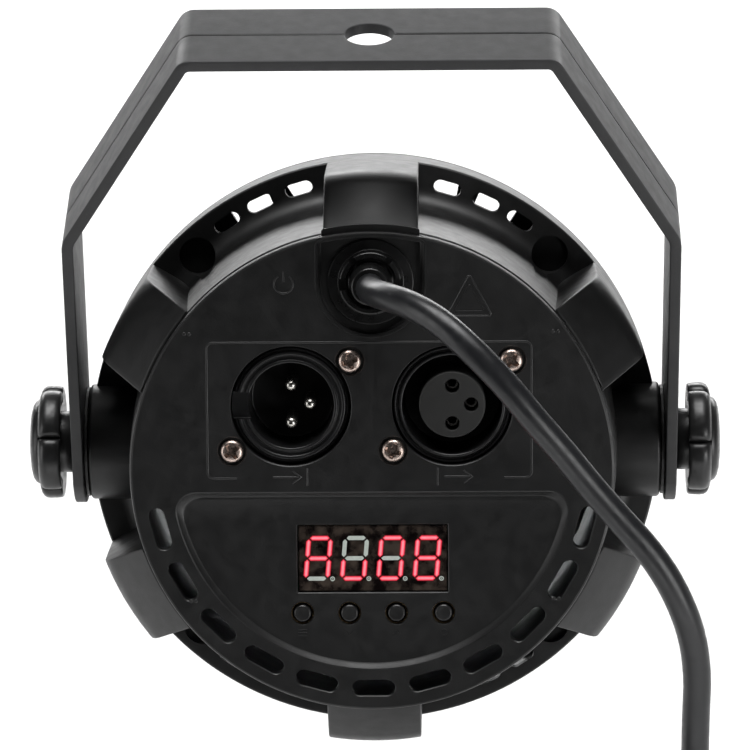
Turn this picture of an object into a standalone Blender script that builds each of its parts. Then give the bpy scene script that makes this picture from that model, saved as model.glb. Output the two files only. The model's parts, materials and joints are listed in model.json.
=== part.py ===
"""Small par can stage light hanging in its yoke.

Metres, +Z up, +Y is the way the beam leaves, so the rear panel faces -Y.
The origin is the centre of the hanging hole, on the top face of the yoke.
The lamp's own pieces are modelled about the pivot and hang, tilted, on it.
"""
import math

import bmesh
import bpy
from mathutils import Euler, Matrix, Vector

MM = 0.001
GAP = 0.3                      # clearance between pieces that touch

# Driving dimensions, in millimetres and degrees.
TILT = -21.0                   # beam below the level, at rest
PIVOT_Z = -93.8                # pivot below the hanging face
YOKE_W = 24.5                  # width of the yoke's strip
YOKE_T = 2.35                  # thickness of the yoke's strip
YOKE_X = 62.6                  # outer face of a leg
YOKE_TOP_X = 37.4              # outer corner of the top plate
YOKE_BEND_Z = -40.7            # where a slant meets its leg
YOKE_END_R = 12.7              # rounded end of a leg, about the pivot
HANG_R = 4.9                   # hanging hole
LEG_HOLE_R = 3.5               # clamp screw's hole in a leg

RING_R = 59.2                  # front ring and lugs
RING_REAR = -1.4
RING_FRONT = 10.0
BEZEL_FRONT = 12.3
DUCT_R = 57.6                  # inner wall of the ring
BARREL_R = 51.6                # outer wall of the inner barrel
FLANGE_FRONT = 0.8             # front face of the flange between drum and ring
BORE_R = 49.6                  # inside of the barrel
BORE_STEP = 7.0                # where the bore widens for the front window
DRUM_REAR_R = 49.0
DRUM_REAR = -37.35
DRUM_BORE_R = 47.2
LUG_W = 19.0
LUG_R = RING_R - 0.14          # just inside the ring's facets
LUG_COUNT = 6
LUG_ROOT_R = 48.2              # a lug starts inside the drum's wall
SLOT_R = 55.2                  # row of vent slots in the flange
SLOT_LENGTH = 5.8
SLOT_WIDTH = 2.7
SLOT_ANGLES = (16.2, 25.1, 33.4)   # from the top and the bottom, both ways
WELL_R = 53.6                  # case screws, each at the bottom of a well
WELL_BORE = 3.8
COLUMN_R = 4.9                 # column in front of each well
SCREW_HOLE_R = 1.9             # case screw's hole
WELL_ANGLE = 43.0              # from the top and the bottom, both ways

PANEL_Y = -40.65               # outer face of the rear panel
PANEL_T = 3.0
PANEL_R = 48.7
RECESS_R = 40.5                # control recess, with a flat top edge
RECESS_TOP = -3.9
RECESS_DEPTH = 1.2
RIM_SLOT_R = 44.2
RIM_SLOT_LENGTH = 8.7
RIM_SLOT_WIDTH = 3.2
POCKET_R = 10.4                # round-bottomed pocket for the mains lead
POCKET_Z = 38.4
POCKET_DEPTH = 2.0
GLAND_R = 6.1
GLAND_BACK = -27.3             # inner end of the strain relief
GLAND_TIP = -47.5              # where the lead leaves it

XLR_X = 16.2
XLR_Z = 13.5
XLR_HOLE_R = 12.15
XLR_SCREW = (11.9, 9.1)
DISPLAY_W = 30.4
DISPLAY_H = 13.9
DISPLAY_Z = -17.8
BUTTON_Z = -29.0
BUTTON_PITCH = 9.5
BUTTON_HOLE_R = 2.3
BUTTON_R = 1.7
BUTTON_FACE = PANEL_Y + 0.9

BOSS_R = 12.0                  # pivot boss on each side of the case
BOSS_END = 59.25
INSERT = (49.5, 58.6, 3.3, 5.0)    # threaded insert: both ends, inner and outer radius
WASHER = (59.5, 60.0)          # friction washer between boss and leg
WASHER_R = 11.4
CLAMP_SCREW_R = 3.0
CLAMP_SCREW = (51.2, 67.4)     # inner and outer end
KNOB_R = 11.8
KNOB_LOBES = 5
KNOB_LOBE_STEPS = 12              # sides drawn for each lobe
KNOB_GROOVE = 1.8                 # depth between the lobes
KNOB_TURNS = {"left": -13.4, "right": -5.0}
KNOB_BODY = (65.1, 69.8)       # both faces of the fluted body
KNOB_COLLAR = (62.9, 6.4)      # inner end and radius of its collar

CORD_D = 5.6
COIL_TURNS = 4
COIL_PITCH = 5.75              # one turn to the next
COIL_R = 31.0                  # to the middle of the turns
COIL_X = 33.2                  # the coil hangs in its own upright plane
COIL_Y = -83.0
COIL_Z = -176.0
COIL_CLEAR = 20.6              # where a straight run leaves the coil's solid
PLUG_TOP = -214.0

BOARD_T = 1.6                  # circuit boards
LED_BOARD_Y = -6.8             # rear face of the LED board
DRIVER_Y = -21.6               # rear face of the driver board
CONTROL_Y = -31.8              # rear face of the control board
LENS_CIRCLE_R = 27.0           # six of the seven LEDs stand on this circle

SEGMENTS = 60


# ---------------------------------------------------------------- materials
def material(name, colour, rough, metal=0.0):
    mat = bpy.data.materials.new(name)
    mat.use_nodes = True
    shader = mat.node_tree.nodes["Principled BSDF"]
    shader.inputs["Base Color"].default_value = (*colour, 1.0)
    shader.inputs["Roughness"].default_value = rough
    shader.inputs["Metallic"].default_value = metal
    return mat


def make_materials():
    return {
        "black_plastic": material("black_plastic", (0.022, 0.022, 0.023), 0.45),
        "grained_black": material("grained_black", (0.030, 0.030, 0.032), 0.55),
        "gloss_black": material("gloss_black", (0.012, 0.012, 0.013), 0.15),
        "rubber": material("rubber", (0.020, 0.020, 0.020), 0.60),
        "cord_pvc": material("cord_pvc", (0.018, 0.018, 0.019), 0.35),
        "nickel": material("nickel", (0.72, 0.64, 0.58), 0.25, 1.0),
        "brass": material("brass", (0.75, 0.58, 0.28), 0.30, 1.0),
        "aluminium": material("aluminium", (0.70, 0.71, 0.72), 0.35, 1.0),
        "circuit_board": material("circuit_board", (0.03, 0.16, 0.08), 0.45),
        "white_board": material("white_board", (0.80, 0.80, 0.78), 0.40),
        "clear_plastic": material("clear_plastic", (0.85, 0.87, 0.88), 0.08),
        "display": material("display", (0.05, 0.02, 0.02), 0.20),
    }


# ---------------------------------------------------------------- geometry
def finish(name, bm, mat, parent=None, smooth=35.0):
    """Turn a bmesh, in millimetres, into a named object in metres."""
    bmesh.ops.remove_doubles(bm, verts=bm.verts, dist=1e-4)
    bmesh.ops.recalc_face_normals(bm, faces=bm.faces)
    bmesh.ops.scale(bm, vec=(MM, MM, MM), verts=bm.verts)
    mesh = bpy.data.meshes.new(name)
    bm.to_mesh(mesh)
    bm.free()
    mesh.shade_smooth()
    mesh.set_sharp_from_angle(angle=math.radians(smooth))
    mesh.materials.append(mat)
    obj = bpy.data.objects.new(name, mesh)
    bpy.context.scene.collection.objects.link(obj)
    obj.parent = parent
    return obj


def turned(bm, profile, segments=SEGMENTS, centre=(0.0, 0.0), phase=0.0):
    """Add a solid turned about a line along Y: profile is (radius, y)."""
    cx, cz = centre
    rings = []
    for k in range(segments):
        angle = 2.0 * math.pi * (k + phase) / segments
        ring = []
        for r, y in profile:
            place = (cx + r * math.cos(angle), y, cz + r * math.sin(angle))
            ring.append(bm.verts.new(place))
        rings.append(ring)
    for k in range(segments):
        here, there = rings[k], rings[(k + 1) % segments]
        for i in range(len(profile)):
            j = (i + 1) % len(profile)
            quad = [here[i], here[j], there[j], there[i]]
            if profile[i][0] == 0.0 and profile[j][0] == 0.0:
                continue
            bm.faces.new(quad)


def prism(bm, outline, low, high, axis="Y"):
    """Add an extrusion of a closed 2-D outline from low to high."""
    def place(u, v, w):
        return {"Y": (u, w, v), "X": (w, u, v), "Z": (u, v, w)}[axis]
    bottom = [bm.verts.new(place(u, v, low)) for u, v in outline]
    top = [bm.verts.new(place(u, v, high)) for u, v in outline]
    count = len(outline)
    bm.faces.new(bottom)
    bm.faces.new(top)
    for i in range(count):
        j = (i + 1) % count
        bm.faces.new([bottom[i], bottom[j], top[j], top[i]])


def circle(r, count, cx=0.0, cy=0.0):
    step = 2.0 * math.pi / count
    return [(cx + r * math.cos(i * step), cy + r * math.sin(i * step)) for i in range(count)]


def arc(cx, cy, r, start, end, count):
    """Points on an arc, angles in degrees, both ends included."""
    points = []
    for i in range(count + 1):
        angle = math.radians(start + (end - start) * i / count)
        points.append((cx + r * math.cos(angle), cy + r * math.sin(angle)))
    return points


def obround(length, width, angle, radius, count=3):
    """Round-ended slot across the radius, centred at a polar place."""
    half = (length - width) / 2.0
    r = width / 2.0
    local = arc(half, 0.0, r, -90, 90, count) + arc(-half, 0.0, r, 90, 270, count)
    turn = math.radians(angle - 90.0)
    cx = radius * math.cos(math.radians(angle))
    cy = radius * math.sin(math.radians(angle))
    return [(cx + u * math.cos(turn) - v * math.sin(turn),
             cy + u * math.sin(turn) + v * math.cos(turn)) for u, v in local]


def box(bm, low, high):
    outline = [(low[0], low[2]), (high[0], low[2]), (high[0], high[2]), (low[0], high[2])]
    prism(bm, outline, low[1], high[1])


def boolean(target, other, operation):
    """Apply an exact Boolean to target and take the other object away."""
    mod = target.modifiers.new(operation.lower(), "BOOLEAN")
    mod.operation = operation
    mod.solver = "EXACT"
    mod.object = other
    bpy.context.view_layer.update()
    graph = bpy.context.evaluated_depsgraph_get()
    result = bpy.data.meshes.new_from_object(target.evaluated_get(graph))
    old = target.data
    target.modifiers.clear()
    target.data = result
    result.name = old.name
    bpy.data.meshes.remove(old)
    bpy.data.objects.remove(other)
    result.shade_smooth()
    result.set_sharp_from_angle(angle=math.radians(35.0))


def cutter(fill, parent=None):
    bm = bmesh.new()
    fill(bm)
    return finish("cutter", bm, None, parent)


def cut(target, fill):
    boolean(target, cutter(fill, target.parent), "DIFFERENCE")


def join(target, fill):
    boolean(target, cutter(fill, target.parent), "UNION")


def solid(name, mat, parent, fill, smooth=35.0):
    bm = bmesh.new()
    fill(bm)
    return finish(name, bm, mat, parent, smooth)


# ---------------------------------------------------------------- yoke
def yoke_outline():
    """Side outline of the bent strip in X and Z, outer line then inner."""
    outer = [(YOKE_X, PIVOT_Z - YOKE_END_R), (YOKE_X, YOKE_BEND_Z),
             (YOKE_TOP_X, 0.0), (-YOKE_TOP_X, 0.0),
             (-YOKE_X, YOKE_BEND_Z), (-YOKE_X, PIVOT_Z - YOKE_END_R)]
    radii = (0.0, 6.0, 3.6, 3.6, 6.0, 0.0)
    line_out, line_in = [], []
    for i, (x, z) in enumerate(outer):
        corner = Vector((x, z))
        if radii[i] == 0.0:
            side = -1.0 if x > 0 else 1.0
            line_out.append((x, z))
            line_in.append((x + side * YOKE_T, z))
            continue
        before = (Vector(outer[i - 1]) - corner).normalized()
        after = (Vector(outer[i + 1]) - corner).normalized()
        half = before.angle(after) / 2.0
        centre = corner + (before + after).normalized() * (radii[i] / math.sin(half))
        reach = radii[i] / math.tan(half)
        first = corner + before * reach - centre
        last = corner + after * reach - centre
        for k in range(5):
            ray = first.lerp(last, k / 4.0).normalized()
            line_out.append(tuple(centre + ray * radii[i]))
            line_in.append(tuple(centre + ray * (radii[i] - YOKE_T)))
    return line_out + line_in[::-1]


def make_yoke(mats):
    half = YOKE_W / 2.0
    yoke = solid("yoke", mats["grained_black"], None,
                 lambda bm: prism(bm, yoke_outline(), -half, half))

    def leg_end(bm):
        """What is left outside the round end of a leg."""
        for side in (-1.0, 1.0):
            low = min(side * (YOKE_X - 6.0), side * (YOKE_X + 3.0))
            curve = arc(0.0, PIVOT_Z, YOKE_END_R, 195.0, 345.0, 16)
            corner = [(half + 3.0, curve[-1][1]), (half + 3.0, PIVOT_Z - 20.0),
                      (-half - 3.0, PIVOT_Z - 20.0), (-half - 3.0, curve[0][1])]
            prism(bm, curve + corner, low, low + 9.0, axis="X")
    cut(yoke, leg_end)

    def holes(bm):
        prism(bm, circle(HANG_R, 24), -YOKE_T - 3.0, 3.0, axis="Z")
        for side in (-1.0, 1.0):
            low = min(side * (YOKE_X - 6.0), side * (YOKE_X + 3.0))
            prism(bm, circle(LEG_HOLE_R, 14, 0.0, PIVOT_Z), low, low + 9.0, axis="X")
    cut(yoke, holes)
    return yoke


# ---------------------------------------------------------------- lamp case
def housing_profile():
    """Drum, flange, ring and inner barrel as one wall, before it is bored: (radius, y)."""
    fillet = [(50.7 + 3.1 * (1.0 - math.cos(a)), RING_REAR - 3.6 * (1.0 - math.sin(a)))
              for a in (0.0, 0.55, 1.05, math.pi / 2.0)]
    rough = 1.0
    return [(DRUM_BORE_R - rough, DRUM_REAR), (DRUM_REAR_R, DRUM_REAR), (49.9, -20.0),
            *fillet, (RING_R - 0.6, RING_REAR), (RING_R, RING_REAR + 0.6),
            (RING_R, RING_FRONT), (DUCT_R, RING_FRONT), (DUCT_R, FLANGE_FRONT),
            (BARREL_R, FLANGE_FRONT), (BARREL_R, RING_FRONT),
            (DRUM_BORE_R - rough, RING_FRONT)]


def lug_side():
    """A lug seen from its side: (y, radius) from the drum out to the ring."""
    return [(DRUM_REAR, LUG_ROOT_R), (DRUM_REAR, 49.3), (-27.4, 57.2), (-24.0, 58.5),
            (-20.5, LUG_R), (-0.5, LUG_R), (-0.5, LUG_ROOT_R)]


def add_lug(bm, angle):
    """A block that follows the ring's curve outside and has flat flanks."""
    steps = 4
    turn = math.radians(angle)
    rows = []
    for y, radius in lug_side():
        row = []
        for k in range(steps + 1):
            v = LUG_W * (k / steps - 0.5)
            u = radius if radius == LUG_ROOT_R else math.sqrt(radius * radius - v * v)
            place = (u * math.cos(turn) - v * math.sin(turn), y,
                     u * math.sin(turn) + v * math.cos(turn))
            row.append(bm.verts.new(place))
        rows.append(row)
    count = len(rows)
    for i in range(count):
        j = (i + 1) % count
        for k in range(steps):
            bm.faces.new([rows[i][k], rows[i][k + 1], rows[j][k + 1], rows[j][k]])
    bm.faces.new([row[0] for row in rows])
    bm.faces.new([row[-1] for row in rows])


def mirrored_angles(offsets):
    """Angles at these offsets on both sides of the top and the bottom."""
    return [base + sign * value for base in (90.0, 270.0)
            for value in offsets for sign in (-1.0, 1.0)]


def polar(radius, angle):
    turn = math.radians(angle)
    return (radius * math.cos(turn), radius * math.sin(turn))


def make_housing(mats, lamp):
    housing = solid("housing", mats["black_plastic"], lamp,
                    lambda bm: turned(bm, housing_profile()))
    for index in range(LUG_COUNT):
        join(housing, lambda bm: add_lug(bm, 90.0 + index * 60.0))

    def bosses(bm):
        for side in (-1.0, 1.0):
            low, high = sorted((side * 48.0, side * BOSS_END))
            prism(bm, circle(BOSS_R, 32), low, high, axis="X")
    join(housing, bosses)

    def columns(bm):
        for angle in mirrored_angles((WELL_ANGLE,)):
            prism(bm, circle(COLUMN_R, 14, *polar(WELL_R, angle)), 0.2, RING_FRONT)
    join(housing, columns)

    def inside(bm):
        turned(bm, [(0.0, DRUM_REAR - 2.0), (DRUM_BORE_R, DRUM_REAR - 2.0),
                    (DRUM_BORE_R, BORE_STEP), (BORE_R, BORE_STEP), (BORE_R, RING_FRONT + 2.0),
                    (0.0, RING_FRONT + 2.0)])
    cut(housing, inside)
    front = RING_FRONT + 5.0
    cut(housing, lambda bm: box(bm, (-70.0, RING_FRONT, -20.0), (70.0, front, 20.0)))

    def openings(bm):
        for angle in mirrored_angles(SLOT_ANGLES):
            shape = obround(SLOT_LENGTH, SLOT_WIDTH, angle, SLOT_R)
            prism(bm, shape, RING_REAR - 3.0, 1.8)
        for angle in mirrored_angles((WELL_ANGLE,)):
            centre = polar(WELL_R, angle)
            prism(bm, circle(WELL_BORE, 16, *centre), -24.0, 4.6)
        for side in (-1.0, 1.0):
            low, high = sorted((side * 44.0, side * (BOSS_END + 2.0)))
            prism(bm, circle(INSERT[3] + GAP, 16), low, high, axis="X")
    cut(housing, openings)

    def screw_holes(bm):
        for angle in mirrored_angles((WELL_ANGLE,)):
            prism(bm, circle(SCREW_HOLE_R, 8, *polar(WELL_R, angle)), 3.0, RING_FRONT + 2.0)
    cut(housing, screw_holes)
    return housing


def make_bezel(mats, lamp):
    profile = [(46.8, RING_FRONT + GAP), (RING_R, RING_FRONT + GAP),
               (RING_R, BEZEL_FRONT - 0.8), (RING_R - 0.8, BEZEL_FRONT),
               (47.6, BEZEL_FRONT), (46.8, BEZEL_FRONT - 0.8)]
    bezel = solid("front_bezel", mats["black_plastic"], lamp,
                  lambda bm: turned(bm, profile))

    def windows(bm):
        for base in (90.0, 270.0):
            for sign in (-1.0, 1.0):
                for first, last in ((5.0, 20.0), (23.5, 32.6)):
                    start, end = base + sign * first, base + sign * last
                    shape = arc(0, 0, 57.3, start, end, 4) + arc(0, 0, 51.9, end, start, 4)
                    prism(bm, shape, RING_FRONT - 2.0, BEZEL_FRONT + 2.0)
        for angle in mirrored_angles((WELL_ANGLE,)):
            shape = circle(SCREW_HOLE_R, 8, *polar(WELL_R, angle))
            prism(bm, shape, RING_FRONT - 2.0, BEZEL_FRONT - 0.5)
    cut(bezel, windows)
    return bezel


def d_outline(radius, top, corner=4.0):
    """Circle cut off by a flat top edge, its two corners rounded."""
    reach = math.sqrt((radius - corner) ** 2 - (top - corner) ** 2)
    angle = math.degrees(math.atan2(top - corner, reach))
    right = arc(reach, top - corner, corner, angle, 90.0, 4)
    left = arc(-reach, top - corner, corner, 90.0, 180.0 - angle, 4)
    bottom = arc(0.0, 0.0, radius, 180.0 - angle, 360.0 + angle, 24)
    return right + left + bottom[1:-1]


def pocket_outline():
    """Round-bottomed pocket, open past the top of the panel."""
    return arc(0.0, POCKET_Z, POCKET_R, 180.0, 360.0, 16) + [(POCKET_R, 56.0), (-POCKET_R, 56.0)]


def make_panel(mats, lamp):
    back = PANEL_Y + PANEL_T
    profile = [(0.0, PANEL_Y), (PANEL_R - 0.5, PANEL_Y), (PANEL_R, PANEL_Y + 0.5),
               (PANEL_R, back), (0.0, back)]
    panel = solid("rear_panel", mats["black_plastic"], lamp,
                  lambda bm: turned(bm, profile, 60))

    def recesses(bm):
        prism(bm, d_outline(RECESS_R, RECESS_TOP), PANEL_Y - 2.0, PANEL_Y + RECESS_DEPTH)
        prism(bm, pocket_outline(), PANEL_Y - 2.0, PANEL_Y + POCKET_DEPTH)
        for x, z in xlr_screw_places():
            prism(bm, circle(2.8, 12, x, z), PANEL_Y - 2.0, PANEL_Y + 0.7)
    cut(panel, recesses)

    def openings(bm):
        low, high = PANEL_Y - 2.0, back + 2.0
        for x in (-XLR_X, XLR_X):
            prism(bm, circle(XLR_HOLE_R, 32, x, XLR_Z), low, high)
        for x, z in xlr_screw_places():
            prism(bm, circle(1.75, 8, x, z), PANEL_Y + 0.2, high)
        half_w, half_h = DISPLAY_W / 2.0, DISPLAY_H / 2.0
        prism(bm, [(-half_w, DISPLAY_Z - half_h), (half_w, DISPLAY_Z - half_h),
                   (half_w, DISPLAY_Z + half_h), (-half_w, DISPLAY_Z + half_h)], low, high)
        for x in button_places():
            prism(bm, circle(BUTTON_HOLE_R, 14, x, BUTTON_Z), low, high)
        for index in range(11):
            shape = obround(RIM_SLOT_LENGTH, RIM_SLOT_WIDTH, 195.0 + 15.0 * index, RIM_SLOT_R)
            prism(bm, shape, low, high)
        prism(bm, circle(GLAND_R + 0.3, 20, 0.0, POCKET_Z), low, high)
    cut(panel, openings)
    return panel


def xlr_screw_places():
    dx, dz = XLR_SCREW
    return [(x + sign * dx, XLR_Z + sign * dz) for x in (-XLR_X, XLR_X) for sign in (1.0, -1.0)]


def button_places():
    return [BUTTON_PITCH * (index - 1.5) for index in range(4)]


# ---------------------------------------------------------------- optics
def make_optics(mats, lamp):
    window = [(0.0, 7.4), (BORE_R - GAP, 7.4), (BORE_R - GAP, RING_FRONT - GAP),
              (0.0, RING_FRONT - GAP)]
    solid("front_window", mats["clear_plastic"], lamp, lambda bm: turned(bm, window, 40))

    lens_places = [(0.0, 0.0)] + [polar(LENS_CIRCLE_R, 30.0 + 60.0 * k) for k in range(6)]

    def lenses(bm):
        turned(bm, [(0.0, 4.6), (46.6, 4.6), (46.6, 6.6), (0.0, 6.6)], 36)
    plate = solid("lens_plate", mats["clear_plastic"], lamp, lenses)

    def cones(bm):
        for place in lens_places:
            turned(bm, [(0.0, -3.6), (3.2, -3.6), (9.5, 5.0), (0.0, 5.0)], 10, place)
    join(plate, cones)

    face = LED_BOARD_Y + BOARD_T
    board = solid("led_board", mats["white_board"], lamp,
                  lambda bm: turned(bm, [(0.0, LED_BOARD_Y), (46.0, LED_BOARD_Y), (46.0, face),
                                         (0.0, face)], 32))

    def chips(bm):
        for x, z in lens_places:
            box(bm, (x - 2.5, face - 0.4, z - 2.5), (x + 2.5, face + 1.3, z + 2.5))
    join(board, chips)

    front, rear = LED_BOARD_Y - GAP, LED_BOARD_Y - GAP - 2.5
    sink = solid("heatsink", mats["aluminium"], lamp,
                 lambda bm: turned(bm, [(0.0, rear), (45.5, rear), (45.5, front), (0.0, front)], 32))

    def fins(bm):
        for index in range(-4, 5):
            x = index * 8.0
            reach = math.sqrt(41.0 ** 2 - x * x) - 2.0
            box(bm, (x - 0.8, rear - 7.4, -reach), (x + 0.8, rear + 0.6, reach))
    join(sink, fins)
    cut(sink, lambda bm: prism(bm, circle(1.8, 12, 39.0, 0.0), -12.0, -5.0))


# ---------------------------------------------------------------- electrics
def make_boards(mats, lamp):
    driver = solid("driver_board", mats["circuit_board"], lamp,
                   lambda bm: box(bm, (-33.0, DRIVER_Y, -2.0), (33.0, DRIVER_Y + BOARD_T, 27.0)))

    def parts(bm):
        box(bm, (-31.0, -27.0, -1.0), (-24.5, -21.0, 5.0))
        box(bm, (24.5, -27.0, -1.0), (31.0, -21.0, 5.0))
        turned(bm, [(0.0, -35.0), (5.0, -35.0), (5.0, -21.0), (0.0, -21.0)], 16, (0.0, 3.5))
        box(bm, (-4.0, -25.0, 16.0), (4.0, -21.0, 24.0))
    join(driver, parts)

    control = solid("control_board", mats["circuit_board"], lamp,
                    lambda bm: box(bm, (-28.0, CONTROL_Y, -33.5),
                                   (28.0, CONTROL_Y + BOARD_T, -8.0)))

    def switches(bm):
        for x in button_places():
            box(bm, (x - 3.0, -35.0, BUTTON_Z - 3.0), (x + 3.0, -31.0, BUTTON_Z + 3.0))
    join(control, switches)

    half_w, half_h = DISPLAY_W / 2.0 - 0.2, DISPLAY_H / 2.0 - 0.2
    face = PANEL_Y + RECESS_DEPTH + 0.35
    solid("display_module", mats["display"], lamp,
          lambda bm: box(bm, (-half_w, face, DISPLAY_Z - half_h),
                         (half_w, CONTROL_Y - GAP, DISPLAY_Z + half_h)))

    for index, x in enumerate(button_places()):
        stem = [(0.0, BUTTON_FACE), (BUTTON_R - 0.3, BUTTON_FACE), (BUTTON_R, BUTTON_FACE + 0.3),
                (BUTTON_R, -37.3), (2.6, -37.3), (2.6, -35.6), (0.0, -35.6)]
        solid(f"button_{index + 1}", mats["gloss_black"], lamp,
              lambda bm: turned(bm, stem, 12, (x, BUTTON_Z)))

    tube("mains_loom", [(0.0, -27.0, 38.4), (0.0, -24.6, 38.0), (0.0, -21.8, 35.6),
                        (0.0, -20.8, 31.8), (0.0, -20.8, 27.4)], 1.5, mats["cord_pvc"], lamp, 3)
    tube("led_loom", [(31.0, -18.5, 3.0), (34.5, -18.2, 1.5), (38.1, -16.0, 0.2),
                      (39.0, -12.5, 0.0), (39.0, -7.4, 0.0)], 2.0, mats["cord_pvc"], lamp, 3)


def smooth_line(points, step):
    """Even points along a centripetal curve through the given places."""
    places = [Vector(p) for p in points]
    places = [2 * places[0] - places[1], *places, 2 * places[-1] - places[-2]]
    fine = []
    for i in range(1, len(places) - 2):
        p0, p1, p2, p3 = places[i - 1:i + 3]
        t1 = max((p1 - p0).length, 1e-6) ** 0.5
        t2 = t1 + max((p2 - p1).length, 1e-6) ** 0.5
        t3 = t2 + max((p3 - p2).length, 1e-6) ** 0.5
        for k in range(24):
            t = t1 + (t2 - t1) * k / 24.0
            a1 = p0 * ((t1 - t) / t1) + p1 * (t / t1)
            a2 = p1 * ((t2 - t) / (t2 - t1)) + p2 * ((t - t1) / (t2 - t1))
            a3 = p2 * ((t3 - t) / (t3 - t2)) + p3 * ((t - t2) / (t3 - t2))
            b1 = a1 * ((t2 - t) / t2) + a2 * (t / t2)
            b2 = a2 * ((t3 - t) / (t3 - t1)) + a3 * ((t - t1) / (t3 - t1))
            fine.append(b1 * ((t2 - t) / (t2 - t1)) + b2 * ((t - t1) / (t2 - t1)))
    fine.append(places[-2])
    total = sum((b - a).length for a, b in zip(fine, fine[1:]))
    count = max(2, round(total / step))
    even, walked, index = [fine[0]], 0.0, 0
    for k in range(1, count):
        target = total * k / count
        while walked + (fine[index + 1] - fine[index]).length < target:
            walked += (fine[index + 1] - fine[index]).length
            index += 1
        part = (target - walked) / (fine[index + 1] - fine[index]).length
        even.append(fine[index].lerp(fine[index + 1], part))
    return even + [fine[-1]]


def tube(name, points, diameter, mat, parent, step):
    curve = bpy.data.curves.new(name, "CURVE")
    curve.dimensions = "3D"
    curve.bevel_depth = diameter / 2.0 * MM
    curve.bevel_resolution = 2
    curve.use_fill_caps = True
    spline = curve.splines.new("POLY")
    line = smooth_line(points, step)
    spline.points.add(len(line) - 1)
    for place, point in zip(line, spline.points):
        point.co = (*(place * MM), 1.0)
    spline.use_smooth = True
    curve.materials.append(mat)
    obj = bpy.data.objects.new(name, curve)
    bpy.context.scene.collection.objects.link(obj)
    obj.parent = parent
    return obj


# ---------------------------------------------------------------- connectors
def make_connectors(mats, lamp):
    rim, floor, back = PANEL_Y + 0.9, -26.5, -24.9
    male = [(11.85, rim + 0.9), (11.3, rim + 0.3), (10.4, rim), (8.9, rim), (8.5, rim + 0.5),
            (8.5, floor), (0.0, floor), (0.0, back), (9.6, back), (11.85, -30.0)]
    shell = solid("xlr_male_shell", mats["black_plastic"], lamp,
                  lambda bm: turned(bm, male, 28, (-XLR_X, XLR_Z)))
    pins = [polar(3.8, angle) for angle in (90.0, 0.0, 270.0)]

    def pin_holes(bm):
        for dx, dz in pins:
            prism(bm, circle(1.6, 8, dx - XLR_X, dz + XLR_Z), floor - 2.0, back + 2.0)
        box(bm, (-XLR_X - 9.6, rim - 1.0, XLR_Z - 1.6), (-XLR_X - 8.0, floor + 4.0, XLR_Z + 1.6))
    cut(shell, pin_holes)

    contact_back = back + 2.2
    contacts = solid("xlr_male_contacts", mats["nickel"], lamp,
                     lambda bm: turned(bm, [(0.0, back + GAP), (6.4, back + GAP),
                                            (6.4, contact_back), (0.0, contact_back)],
                                       20, (-XLR_X, XLR_Z)))

    def pin_bodies(bm):
        for dx, dz in pins:
            tip = rim + 1.6
            turned(bm, [(0.0, tip), (0.7, tip), (1.2, tip + 0.8), (1.2, back + 1.0), (0.0, back + 1.0)],
                   8, (dx - XLR_X, dz + XLR_Z))
    join(contacts, pin_bodies)

    female = [(11.85, rim + 0.9), (11.3, rim + 0.3), (10.9, rim), (10.2, rim), (9.9, rim + 0.4),
              (9.9, floor), (0.0, floor), (0.0, back), (9.6, back), (11.85, -30.0)]
    solid("xlr_female_shell", mats["black_plastic"], lamp,
          lambda bm: turned(bm, female, 28, (XLR_X, XLR_Z)))
    insert = [(0.0, rim + 0.2), (6.3, rim + 0.2), (6.7, rim + 0.6), (6.7, floor - GAP),
              (0.0, floor - GAP)]
    socket = solid("xlr_female_insert", mats["gloss_black"], lamp,
                   lambda bm: turned(bm, insert, 24, (XLR_X, XLR_Z)))

    def sockets(bm):
        for dx, dz in pins:
            prism(bm, circle(1.4, 10, dx + XLR_X, dz + XLR_Z), rim - 2.0, floor - 4.0)
    cut(socket, sockets)


def screw(name, head_r, head_y, length, shank_r, place, mats, lamp, mesh=None):
    """Pan head screw with a cross recess, driven along +Y."""
    if mesh is not None:
        obj = bpy.data.objects.new(name, mesh)
        bpy.context.scene.collection.objects.link(obj)
        obj.parent = lamp
        obj.location = (place[0] * MM, 0.0, place[1] * MM)
        return obj
    profile = [(0.0, head_y), (head_r * 0.72, head_y + 0.12), (head_r, head_y + 0.75),
               (head_r, head_y + 1.3), (shank_r, head_y + 1.3), (shank_r, head_y + length),
               (0.0, head_y + length)]
    obj = solid(name, mats["nickel"], lamp, lambda bm: turned(bm, profile, 12))

    def cross(bm):
        arm, thick = head_r * 0.58, head_r * 0.13
        shape = [(-arm, -thick), (-thick, -thick), (-thick, -arm), (thick, -arm), (thick, -thick),
                 (arm, -thick), (arm, thick), (thick, thick), (thick, arm), (-thick, arm),
                 (-thick, thick), (-arm, thick)]
        prism(bm, shape, head_y - 1.0, head_y + 0.8)
    cut(obj, cross)
    obj.location = (place[0] * MM, 0.0, place[1] * MM)
    return obj


def make_screws(mats, lamp):
    mesh = None
    for index, place in enumerate(xlr_screw_places()):
        obj = screw(f"xlr_screw_{index + 1}", 2.3, PANEL_Y - 0.85, 3.6, 1.4, place, mats, lamp, mesh)
        mesh = obj.data
    mesh = None
    for index, angle in enumerate(mirrored_angles((WELL_ANGLE,))):
        place = polar(WELL_R, angle)
        obj = screw(f"case_screw_{index + 1}", 3.0, 3.0, 8.3, 1.5, place, mats, lamp, mesh)
        mesh = obj.data


# ---------------------------------------------------------------- pivots
def knob_outline(turn):
    """Edge of broad lobes with a groove between each pair, turned by this angle."""
    points = []
    count = KNOB_LOBES * KNOB_LOBE_STEPS
    for k in range(count):
        angle = 2.0 * math.pi * k / count
        wave = abs(math.cos(angle * KNOB_LOBES / 2.0)) ** 0.7
        r = KNOB_R - KNOB_GROOVE * (1.0 - wave)
        points.append(polar(r, math.degrees(angle) + turn))
    return points


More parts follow.
